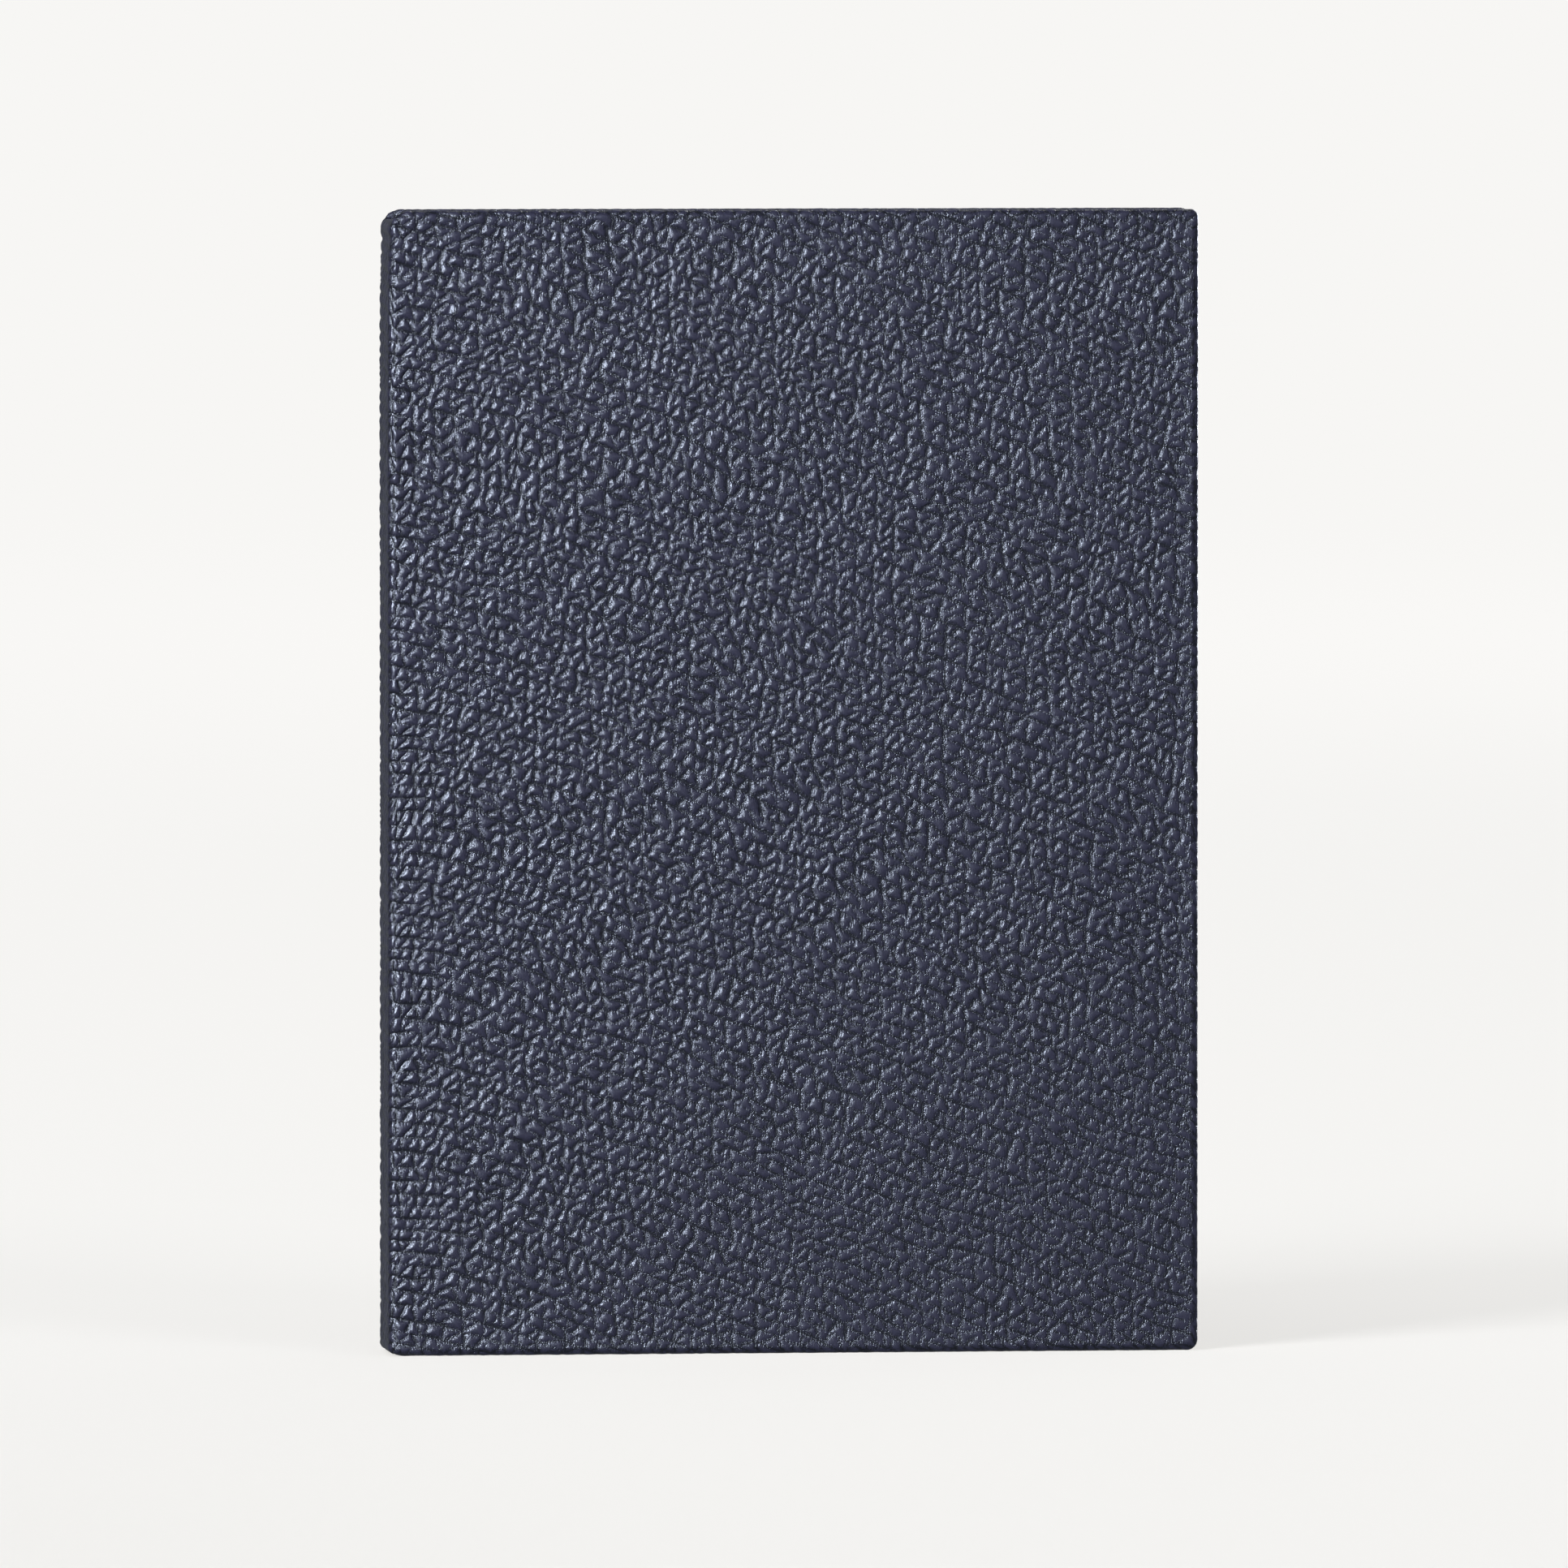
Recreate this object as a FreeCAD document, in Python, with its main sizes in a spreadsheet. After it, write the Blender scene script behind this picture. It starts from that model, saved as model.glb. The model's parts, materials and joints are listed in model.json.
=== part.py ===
import FreeCAD, Part
import os
import Sketcher

# A hardback logbook of A5 pages, standing on its tail edge.
# X runs from the spine (-X) to the fore-edge (+X), Y from the front cover (-Y) to the back cover (+Y)
# and Z up from the tail to the head. The origin is at the middle of the book's footprint.

DRIVING_SIZES = {
    "cover_height": 216.0,
    "cover_width": 154.0,
    "book_thickness": 19.0,
    "page_height": 210.0,
    "page_width": 147.0,
    "leather_thickness": 1.0,
    "leather_edge_round": 0.9,
    "inner_edge_round": 0.35,
    "head_corner_round": 1.3,
    "tail_corner_round": 1.9,
    "joint_corner_round": 2.4,
    "board_thickness": 2.2,
    "turnin_thickness": 0.5,
    "turnin_width": 15.0,
    "pastedown_thickness": 0.2,
    "pastedown_border": 3.0,
    "hinge_gap": 0.15,
    "stiffener_thickness": 1.6,
    "spine_corner_round": 1.8,
    "spine_head_drop": 1.8,
    "spine_tail_lift": 0.4,
    "spine_turnin_width": 11.0,
    "hollow_thickness": 0.7,
    "hollow_wall": 0.2,
    "lining_half_width": 5.2,
    "mull_thickness": 0.2,
    "mull_inset": 8.0,
    "thread_diameter": 0.3,
    "tape_thickness": 0.3,
    "tape_width": 12.0,
    "tape_pitch": 62.0,
    "kettle_inset": 12.0,
    "fold_clearance": 0.15,
    "flyleaf_thickness": 0.25,
    "flyleaf_setback": 0.3,
    "flyleaf_clearance": 0.15,
    "section_thickness": 1.18,
    "section_pitch": 1.285,
    "band_roll_diameter": 1.6,
    "band_clearance": 0.1,
    "band_tongue_height": 10.0,
}
SECTION_COUNT = 8
BACK_OF_FRONT = {
    "front_leather": "back_leather",
    "front_board": "back_board",
    "front_infill": "back_infill",
    "front_pastedown": "back_pastedown",
    "front_flyleaf": "back_flyleaf",
}

doc = FreeCAD.newDocument("logbook")
nodes = {}


def make_sheet():
    """Driving dimensions, one aliased cell each."""
    sheet = doc.addObject("Spreadsheet::Sheet", "Sizes")
    for row, (alias, value) in enumerate(DRIVING_SIZES.items(), start=1):
        sheet.set(f"A{row}", alias)
        sheet.set(f"B{row}", str(value))
        sheet.setAlias(f"B{row}", alias)
    doc.recompute()
    return sheet


def of_sizes(formula):
    """Write a formula of alias words as an expression on the sheet."""
    words = []
    for word in formula.replace("(", " ( ").replace(")", " ) ").split():
        words.append(f"Sizes.{word}" if word in DRIVING_SIZES else word)
    return " ".join(words)


# Places along X, from the spine's outer face inwards
SPINE_FACE = "( -1 * cover_width / 2 )"
HINGE_LINE = f"( {SPINE_FACE} + leather_thickness + stiffener_thickness )"
MULL_FACE = f"( {HINGE_LINE} + hollow_thickness )"
THREAD_FACE = f"( {MULL_FACE} + mull_thickness )"
TAPE_FACE = f"( {THREAD_FACE} + thread_diameter )"
FOLD_FACE = f"( {TAPE_FACE} + tape_thickness + fold_clearance )"

# Depths into the front cover, from its outer face
BOARD_INNER = "( leather_thickness + board_thickness )"
TURNIN_INNER = f"( {BOARD_INNER} + turnin_thickness )"
COVER_DEPTH = f"( {TURNIN_INNER} + pastedown_thickness )"

COVER_REACH = "( cover_width - leather_thickness - stiffener_thickness )"
SQUARE = "( ( cover_height - page_height ) / 2 )"
SPINE_LENGTH = "( cover_height - spine_head_drop - spine_tail_lift )"
FRONT_FACE = "( -1 * book_thickness / 2 )"


def place(thing, x="0", y="0", z="0"):
    """Bind an object's position to the sheet."""
    for axis, formula in zip("xyz", (x, y, z)):
        thing.setExpression(f"Placement.Base.{axis}", of_sizes(formula))


def add_box(name, x, y, z, length, width, height):
    """A flat piece: low corner, then its size along X, Y and Z."""
    box = doc.addObject("Part::Box", name)
    box.Label = name
    for edge, formula in (("Length", length), ("Width", width), ("Height", height)):
        box.setExpression(edge, of_sizes(formula))
    place(box, x, y, z)
    return box


def add_body(name):
    body = doc.addObject("PartDesign::Body", name)
    body.Label = name
    return body


def add_sketch(body, role, name, offset=None):
    """A sketch on one of the body's own origin planes, moved along its normal by offset."""
    plane = next(f for f in body.Origin.OriginFeatures if f.Role == role)
    sketch = body.newObject("Sketcher::SketchObject", name)
    sketch.AttachmentSupport = [(plane, "")]
    sketch.MapMode = "FlatFace"
    if offset:
        sketch.setExpression("AttachmentOffset.Base.z", of_sizes(offset))
    return sketch


def measure(sketch, name, kind, points, formula):
    """A named distance between two sketch points, bound to the sheet."""
    index = sketch.addConstraint(Sketcher.Constraint(kind, *points, 1.0))
    sketch.renameConstraint(index, name)
    sketch.setExpression(f"Constraints.{name}", of_sizes(formula))


def draw_rectangle(sketch, left, bottom, width, height):
    """A rectangle placed from the sketch's origin."""
    corners = [(1, 1), (2, 1), (2, 2), (1, 2)]
    points = [FreeCAD.Vector(x, y, 0) for x, y in corners]
    for start in range(4):
        sketch.addGeometry(Part.LineSegment(points[start], points[(start + 1) % 4]), False)
    for line in range(4):
        sketch.addConstraint(Sketcher.Constraint("Coincident", line, 2, (line + 1) % 4, 1))
        kind = "Horizontal" if line % 2 == 0 else "Vertical"
        sketch.addConstraint(Sketcher.Constraint(kind, line))
    measure(sketch, "left", "DistanceX", (-1, 1, 0, 1), left)
    measure(sketch, "bottom", "DistanceY", (-1, 1, 0, 1), bottom)
    measure(sketch, "width", "DistanceX", (0, 1, 0, 2), width)
    measure(sketch, "height", "DistanceY", (1, 1, 1, 2), height)


def add_pad(body, sketch, name, length, reverse=False, midplane=False):
    pad = body.newObject("PartDesign::Pad", name)
    pad.Profile = sketch
    pad.Reversed = reverse
    pad.Midplane = midplane
    pad.setExpression("Length", of_sizes(length))
    return pad


def add_pocket(body, sketch, name, length):
    """A pocket along the sketch's normal; it has to take material away."""
    before = body.Shape.Volume
    pocket = body.newObject("PartDesign::Pocket", name)
    pocket.Profile = sketch
    pocket.Reversed = True
    pocket.setExpression("Length", of_sizes(length))
    doc.recompute()
    if body.Shape.Volume > before - 1.0:
        raise RuntimeError(f"{name} cuts nothing from {body.Label}")
    return pocket


def add_fillet(body, name, radius, wanted):
    """Round every edge whose box passes the test."""
    doc.recompute()
    tip = body.Tip
    edges = [f"Edge{i}" for i, edge in enumerate(tip.Shape.Edges, start=1) if wanted(edge.BoundBox)]
    if not edges:
        raise RuntimeError(f"{name} finds no edge on {body.Label}")
    fillet = body.newObject("PartDesign::Fillet", name)
    fillet.Base = (tip, edges)
    fillet.setExpression("Radius", of_sizes(radius))
    doc.recompute()
    return fillet


def near(value, target):
    return abs(value - target) < 1e-4


def runs_along_y(box, x, z):
    return near(box.XMin, x) and near(box.XMax, x) and near(box.ZMin, z) and near(box.ZMax, z)


def make_front_leather():
    """The skin on the front board: outer face, edges, and the turn-ins round three sides."""
    body = add_body("front_leather")
    place(body, HINGE_LINE, FRONT_FACE, "0")

    outline = add_sketch(body, "XZ_Plane", "skin_outline")
    draw_rectangle(outline, "hinge_gap", "0", f"{COVER_REACH} - hinge_gap", "cover_height")
    add_pad(body, outline, "skin", TURNIN_INNER, reverse=True)

    hinge_side = DRIVING_SIZES["hinge_gap"]
    depth = 0.0
    for word in ("leather_thickness", "board_thickness", "turnin_thickness"):
        depth += DRIVING_SIZES[word]
    fore_edge = DRIVING_SIZES["cover_width"]
    for word in ("leather_thickness", "stiffener_thickness"):
        fore_edge -= DRIVING_SIZES[word]
    height = DRIVING_SIZES["cover_height"]

    add_fillet(body, "head_corner", "head_corner_round", lambda b: runs_along_y(b, fore_edge, height))
    add_fillet(body, "tail_corner", "tail_corner_round", lambda b: runs_along_y(b, fore_edge, 0))
    add_fillet(body, "joint_corner", "joint_corner_round", lambda b: runs_along_y(b, hinge_side, height))

    def on_rim(box, y):
        at_hinge = near(box.XMin, hinge_side) and near(box.XMax, hinge_side)
        return near(box.YMin, y) and near(box.YMax, y) and not at_hinge

    add_fillet(body, "outer_rim", "leather_edge_round", lambda b: on_rim(b, 0))
    add_fillet(body, "inner_rim", "inner_edge_round", lambda b: on_rim(b, depth))

    board_room = add_sketch(body, "YZ_Plane", "board_room")
    skin_twice = "2 * leather_thickness"
    draw_rectangle(
        board_room, "leather_thickness", "leather_thickness", "board_thickness", f"cover_height - {skin_twice}"
    )
    add_pocket(body, board_room, "board_pocket", f"{COVER_REACH} - leather_thickness")

    window = add_sketch(body, "YZ_Plane", "turnin_window")
    border = "( leather_thickness + turnin_width )"
    draw_rectangle(
        window, BOARD_INNER, border, "turnin_thickness", f"cover_height - 2 * {border}"
    )
    add_pocket(body, window, "turnin_pocket", f"{COVER_REACH} - {border}")
    nodes["front_leather"] = body


def make_front_cover_fillings():
    """Board, infill card and pastedown, from the leather inwards."""
    border = "( leather_thickness + turnin_width )"
    start = f"{HINGE_LINE} + hinge_gap"
    nodes["front_board"] = add_box(
        "front_board",
        start,
        f"{FRONT_FACE} + leather_thickness",
        "leather_thickness",
        f"{COVER_REACH} - hinge_gap - leather_thickness",
        "board_thickness",
        "cover_height - 2 * leather_thickness",
    )
    nodes["front_infill"] = add_box(
        "front_infill",
        start,
        f"{FRONT_FACE} + {BOARD_INNER}",
        border,
        f"{COVER_REACH} - hinge_gap - {border}",
        "turnin_thickness",
        f"cover_height - 2 * {border}",
    )
    nodes["front_pastedown"] = add_box(
        "front_pastedown",
        start,
        f"{FRONT_FACE} + {TURNIN_INNER}",
        "pastedown_border",
        f"{COVER_REACH} - hinge_gap - pastedown_border",
        "pastedown_thickness",
        "cover_height - 2 * pastedown_border",
    )


def make_folded_leaves(name, x, y, thickness, width):
    """Leaves lying together with a half-round fold about the body's own Z axis, where they turn."""
    body = add_body(name)
    place(body, x, y, SQUARE)
    sketch = add_sketch(body, "XY_Plane", f"{name}_profile")
    low, high = FreeCAD.Vector(0, -1, 0), FreeCAD.Vector(0, 1, 0)
    far_low, far_high = FreeCAD.Vector(9, -1, 0), FreeCAD.Vector(9, 1, 0)
    for start, end in ((low, far_low), (far_low, far_high), (far_high, high)):
        sketch.addGeometry(Part.LineSegment(start, end), False)
    sketch.addGeometry(Part.Arc(high, FreeCAD.Vector(-1, 0, 0), low), False)
    for first, second in ((0, 1), (1, 2)):
        sketch.addConstraint(Sketcher.Constraint("Coincident", first, 2, second, 1))
    sketch.addConstraint(Sketcher.Constraint("Coincident", 2, 2, 3, 1))
    sketch.addConstraint(Sketcher.Constraint("Coincident", 3, 2, 0, 1))
    sketch.addConstraint(Sketcher.Constraint("Coincident", 3, 3, -1, 1))
    for end in (1, 2):
        sketch.addConstraint(Sketcher.Constraint("PointOnObject", 3, end, -2))
    sketch.addConstraint(Sketcher.Constraint("Horizontal", 0))
    sketch.addConstraint(Sketcher.Constraint("Horizontal", 2))
    sketch.addConstraint(Sketcher.Constraint("Vertical", 1))
    measure(sketch, "thickness", "DistanceY", (1, 1, 1, 2), thickness)
    measure(sketch, "reach", "DistanceX", (0, 1, 0, 2), f"{width} - {thickness} / 2")
    add_pad(body, sketch, f"{name}_leaves", "page_height")
    nodes[name] = body


def make_sections():
    middle = (SECTION_COUNT + 1) / 2
    for number in range(1, SECTION_COUNT + 1):
        make_folded_leaves(
            f"section_{number}",
            f"{FOLD_FACE} + section_thickness / 2",
            f"{number - middle} * section_pitch",
            "section_thickness",
            "page_width",
        )


def make_front_flyleaf():
    """The free half of the endpaper, set back from the folds so that it clears the joint as it turns."""
    make_folded_leaves(
        "front_flyleaf",
        f"{FOLD_FACE} + flyleaf_setback + flyleaf_thickness / 2",
        f"{FRONT_FACE} + {COVER_DEPTH} + flyleaf_clearance + flyleaf_thickness / 2",
        "flyleaf_thickness",
        "( page_width - flyleaf_setback )",
    )


def make_spine_leather():
    """The skin on the spine: outer strip with rounded corners, end caps and their turn-ins."""
    body = add_body("spine_leather")
    place(body, SPINE_FACE, "0", "spine_tail_lift")
    depth = "( leather_thickness + stiffener_thickness )"

    outline = add_sketch(body, "XY_Plane", "strip_outline")
    draw_rectangle(outline, "0", FRONT_FACE, depth, "book_thickness")
    add_pad(body, outline, "strip", SPINE_LENGTH)

    half = DRIVING_SIZES["book_thickness"] / 2
    length = DRIVING_SIZES["cover_height"]
    for word in ("spine_head_drop", "spine_tail_lift"):
        length -= DRIVING_SIZES[word]

    def is_outer_corner(box):
        upright = box.ZLength > length - 1
        return upright and near(box.XMin, 0) and near(box.XMax, 0) and near(abs(box.YMin), half)

    add_fillet(body, "outer_corners", "spine_corner_round", is_outer_corner)
    inner = DRIVING_SIZES["leather_thickness"] + DRIVING_SIZES["stiffener_thickness"]

    def is_cap_edge(box):
        level = near(box.ZMin, box.ZMax) and (near(box.ZMin, 0) or near(box.ZMin, length))
        at_joint = near(box.XMin, inner)
        return level and not at_joint

    add_fillet(body, "end_caps", "leather_edge_round", is_cap_edge)

    room = add_sketch(body, "YZ_Plane", "stiffener_room", offset="leather_thickness")
    inside = "( book_thickness - 2 * leather_thickness )"
    draw_rectangle(
        room,
        f"{FRONT_FACE} + leather_thickness",
        "leather_thickness",
        inside,
        f"{SPINE_LENGTH} - 2 * leather_thickness",
    )
    add_pocket(body, room, "stiffener_pocket", "2 * stiffener_thickness")

    for end, bottom in (("tail", "0"), ("head", f"{SPINE_LENGTH} - spine_turnin_width")):
        strip = add_sketch(body, "YZ_Plane", f"{end}_turnin_outline", offset=depth)
        draw_rectangle(
            strip, "-1 * lining_half_width", bottom, "2 * lining_half_width", "spine_turnin_width"
        )
        add_pad(body, strip, f"{end}_turnin", "turnin_thickness")
    nodes["spine_leather"] = body


def make_spine_linings():
    """Stiffener, hollow tube, mull and the three sewing tapes, from the leather inwards."""
    nodes["spine_stiffener"] = add_box(
        "spine_stiffener",
        f"{SPINE_FACE} + leather_thickness",
        f"{FRONT_FACE} + leather_thickness",
        "spine_tail_lift + leather_thickness",
        "stiffener_thickness",
        "book_thickness - 2 * leather_thickness",
        f"{SPINE_LENGTH} - 2 * leather_thickness",
    )

    tube_low = "( spine_tail_lift + spine_turnin_width )"
    tube_length = f"( {SPINE_LENGTH} - 2 * spine_turnin_width )"
    outside = add_box(
        "tube_outside",
        HINGE_LINE,
        "-1 * lining_half_width",
        tube_low,
        "hollow_thickness",
        "2 * lining_half_width",
        tube_length,
    )
    inside = add_box(
        "tube_inside",
        f"{HINGE_LINE} + hollow_wall",
        "hollow_wall - lining_half_width",
        tube_low,
        "hollow_thickness - 2 * hollow_wall",
        "2 * lining_half_width - 2 * hollow_wall",
        tube_length,
    )
    tube = doc.addObject("Part::Cut", "hollow_tube")
    tube.Label = "hollow_tube"
    tube.Base = outside
    tube.Tool = inside
    nodes["hollow_tube"] = tube

    nodes["mull"] = add_box(
        "mull",
        MULL_FACE,
        "-1 * lining_half_width",
        "mull_inset",
        "mull_thickness",
        "2 * lining_half_width",
        "cover_height - 2 * mull_inset",
    )
    for name, steps in (("tail", -1), ("middle", 0), ("head", 1)):
        nodes[f"sewing_tape_{name}"] = add_box(
            f"sewing_tape_{name}",
            TAPE_FACE,
            "-1 * lining_half_width",
            f"( cover_height - tape_width ) / 2 + {steps} * tape_pitch",
            "tape_thickness",
            "2 * lining_half_width",
            "tape_width",
        )


def add_thread(name, x, y, z, length, across):
    """One straight run of thread, upright or across the folds."""
    run = doc.addObject("Part::Cylinder", name)
    run.setExpression("Radius", of_sizes("thread_diameter / 2"))
    run.setExpression("Height", of_sizes(length))
    if across:
        run.Placement = FreeCAD.Placement(
            FreeCAD.Vector(), FreeCAD.Rotation(FreeCAD.Vector(1, 0, 0), -90)
        )
    place(run, x, y, z)
    return run


def make_sewing_thread():
    """A stitch over each tape for every section, and a row of kettle stitches near head and tail."""
    thread_axis = f"{THREAD_FACE} + thread_diameter / 2"
    middle = (SECTION_COUNT + 1) / 2
    runs = []
    for number in range(1, SECTION_COUNT + 1):
        for steps in (-1, 0, 1):
            runs.append(
                add_thread(
                    f"stitch_{number}_{steps + 2}",
                    thread_axis,
                    f"{number - middle} * section_pitch",
                    f"( cover_height - tape_width ) / 2 + {steps} * tape_pitch - thread_diameter",
                    "tape_width + 2 * thread_diameter",
                    across=False,
                )
            )
    row = f"{SECTION_COUNT - 1} * section_pitch"
    low = f"( {SQUARE} + kettle_inset )"
    for name, z in (("tail", low), ("head", f"cover_height - {low}")):
        runs.append(
            add_thread(f"kettle_row_{name}", thread_axis, f"-1 * {row} / 2", z, row, across=True)
        )
    group = doc.addObject("Part::Compound", "sewing_thread")
    group.Label = "sewing_thread"
    group.Links = runs
    nodes["sewing_thread"] = group


def make_band(name, roll_z, tongue_z):
    """A worked roll across the ends of the folds, on a tongue glued to the mull."""
    body = add_body(name)
    place(body, THREAD_FACE, "0", roll_z)
    radius = "band_roll_diameter / 2"

    roll = add_sketch(body, "XZ_Plane", f"{name}_roll_section")
    roll.addGeometry(Part.Circle(FreeCAD.Vector(1, 0, 0), FreeCAD.Vector(0, 0, 1), 1), False)
    roll.addConstraint(Sketcher.Constraint("PointOnObject", 0, 3, -1))
    measure(roll, "centre", "DistanceX", (-1, 1, 0, 3), f"{radius} + thread_diameter")
    index = roll.addConstraint(Sketcher.Constraint("Radius", 0, 1.0))
    roll.renameConstraint(index, "radius")
    roll.setExpression("Constraints.radius", of_sizes(radius))
    add_pad(body, roll, f"{name}_roll", "2 * lining_half_width", midplane=True)

    tongue = add_sketch(body, "XZ_Plane", f"{name}_tongue_section")
    draw_rectangle(
        tongue, "0", tongue_z, "thread_diameter + tape_thickness", "band_tongue_height"
    )
    add_pad(body, tongue, f"{name}_tongue", "2 * lining_half_width", midplane=True)
    nodes[name] = body


def make_bands():
    clear = "band_clearance + band_roll_diameter / 2"
    make_band("headband", f"cover_height - {SQUARE} + {clear}", "-1 * band_tongue_height")
    make_band("tailband", f"{SQUARE} - ( {clear} )", "0")


def make_back_cover():
    """The back cover's pieces mirror the front cover's in the plane midway between them."""
    for front, back in BACK_OF_FRONT.items():
        mirror = doc.addObject("Part::Mirroring", back)
        mirror.Label = back
        mirror.Source = nodes[front]
        mirror.Normal = FreeCAD.Vector(0, 1, 0)
        nodes[back] = mirror


def check_and_write():
    """Stop on anything failed, then write one STEP file per node."""
    doc.recompute()
    failed = [thing.Name for thing in doc.Objects if {"Invalid", "Error"} & set(thing.State)]
    if failed:
        raise RuntimeError(f"failed: {failed}")
    for name, piece in nodes.items():
        if piece.Shape.isNull() or not piece.Shape.isValid():
            raise RuntimeError(f"{name} has no valid shape")
    os.makedirs("parts", exist_ok=True)
    whole = FreeCAD.BoundBox()
    for name, piece in nodes.items():
        piece.Shape.exportStep(f"parts/{name}.step")
        whole.add(piece.Shape.BoundBox)
    print(len(nodes), "nodes, box", whole)


make_sheet()
make_front_leather()
make_front_cover_fillings()
make_front_flyleaf()
make_sections()
make_spine_leather()
make_spine_linings()
make_sewing_thread()
make_bands()
make_back_cover()
check_and_write()
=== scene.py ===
import json
import math
from functools import partial

import bpy
import numpy as np
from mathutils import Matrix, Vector


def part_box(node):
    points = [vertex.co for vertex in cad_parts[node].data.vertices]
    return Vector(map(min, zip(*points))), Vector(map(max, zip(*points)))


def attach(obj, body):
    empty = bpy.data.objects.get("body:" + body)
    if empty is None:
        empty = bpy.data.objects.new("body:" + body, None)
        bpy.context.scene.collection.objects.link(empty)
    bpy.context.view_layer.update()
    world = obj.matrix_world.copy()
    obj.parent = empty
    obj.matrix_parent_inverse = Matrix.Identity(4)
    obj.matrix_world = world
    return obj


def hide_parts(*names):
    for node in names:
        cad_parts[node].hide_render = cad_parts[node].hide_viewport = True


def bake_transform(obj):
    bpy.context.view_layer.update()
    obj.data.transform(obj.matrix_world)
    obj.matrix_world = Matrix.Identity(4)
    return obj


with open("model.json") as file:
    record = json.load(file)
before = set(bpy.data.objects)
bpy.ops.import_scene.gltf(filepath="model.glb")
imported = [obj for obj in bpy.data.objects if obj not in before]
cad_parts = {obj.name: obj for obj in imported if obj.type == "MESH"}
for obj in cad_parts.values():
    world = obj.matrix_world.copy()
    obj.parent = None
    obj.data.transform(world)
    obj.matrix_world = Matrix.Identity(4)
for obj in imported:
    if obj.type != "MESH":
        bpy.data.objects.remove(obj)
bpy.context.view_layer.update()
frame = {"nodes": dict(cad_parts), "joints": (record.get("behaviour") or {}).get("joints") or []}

MM = 0.001

# ---------------------------------------------------------------- places, in millimetres, from the frame


def node_box(node):
    low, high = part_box(node)
    return np.array(low) / MM, np.array(high) / MM


def joint_place(name):
    joint = next(j for j in frame["joints"] if j["name"] == name)
    return np.array(joint["pos_m"]) / MM


spine_low, spine_high = node_box("spine_leather")
cover_low, cover_high = node_box("front_leather")
board_low, _ = node_box("front_board")
pastedown_low, pastedown_high = node_box("front_pastedown")
flyleaf_low, flyleaf_high = node_box("front_flyleaf")
HINGE_X = joint_place("front_cover_hinge")[0]
SPINE_X = spine_low[0]
HALF = -cover_low[1]
HEIGHT = cover_high[2]
REACH = cover_high[0] - HINGE_X
COVER_DEPTH = cover_high[1] - cover_low[1]
SPINE_TOP = spine_high[2]
SPINE_FOOT = spine_low[2]

SPINE_ROUND = 1.8
HINGE_FLAT = HINGE_X - SPINE_X - SPINE_ROUND
ARC = SPINE_ROUND * math.pi / 2
SPINE_FLAT = 2 * (HALF - SPINE_ROUND)
WRAP = 2 * (HINGE_FLAT + ARC) + SPINE_FLAT

STEP = 0.30
EDGE_ROUND = 1.2
INNER_ROUND = 0.35
HEAD_CORNER = 1.4
TAIL_CORNER = 2.0
TURNIN = 14.0
TURNIN_STEP = 1.0
CLEAR = 0.02
STRIP = 2.0
FLANGE_START = board_low[0] - HINGE_X


# ---------------------------------------------------------------- noise and leather grain


def lattice(ix, iy, seed):
    """A repeatable number from 0 to 1 for each whole-number pair."""
    mix = (ix.astype(np.int64) * 73856093) ^ (iy.astype(np.int64) * 19349663) ^ (seed * 83492791)
    mix = (mix ^ (mix >> 13)) * 1274126177
    mix = mix ^ (mix >> 16)
    return (mix & 0xFFFFFF).astype(np.float64) / 0xFFFFFF


def noise(x, y, size, seed):
    """Smooth noise from -1 to 1 whose features are about size across."""
    x, y = x / size, y / size
    ix, iy = np.floor(x), np.floor(y)
    fx, fy = x - ix, y - iy
    sx, sy = fx * fx * (3 - 2 * fx), fy * fy * (3 - 2 * fy)
    total = 0
    for dx, wx in ((0, 1 - sx), (1, sx)):
        for dy, wy in ((0, 1 - sy), (1, sy)):
            turn = lattice(ix + dx, iy + dy, seed) * 2 * math.pi
            total = total + wx * wy * (np.cos(turn) * (fx - dx) + np.sin(turn) * (fy - dy))
    return total * 1.5


def smooth(value, low, high):
    t = np.clip((value - low) / (high - low), 0, 1)
    return t * t * (3 - 2 * t)


ROW_PITCH = 2.45
ROW_SLOPE, ROW_TURN, ROW_EASE = 0.10, 0.34, 14.0
CELL_PITCH = 2.00
CELL_LEAN = 0.45
CELL_SWING = 0.60
CELL_SPREAD = 0.90
CELL_JITTER = 0.50
CREASE_REACH = 0.46
CREASE_ROUND = 0.18
FIRM_LEAST = 0.55
GRAIN_DEPTH = 0.64
GRAIN_TOP = 0.95
FLATTEN = 0.52
CELL_SQUEEZE = 0.9
ROW_STRENGTH, ROW_LEAST = 0.80, 0.45
# waves in a row's strength: each is (size, turn along a row, turn from row to row)
ROW_WAVES = ((0.22, 0.27, 2.4), (0.18, 0.71, 5.1))
# unevenness of the rows: each is (how far, size of the features, seed)
BENDS_U = ((1.8, 17.0, 11), (0.28, 4.4, 12), (0.06, 2.3, 15))
BENDS_V = ((2.1, 21.0, 13), (0.32, 5.0, 14), (0.10, 2.5, 16))
HASH_CELL, HASH_ROW, HASH_PLACE, HASH_LEAN, HASH_STRENGTH = 1.9898, 8.233, 97.43, 57.31, 31.77


def fraction(value):
    return value - np.floor(value)


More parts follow.
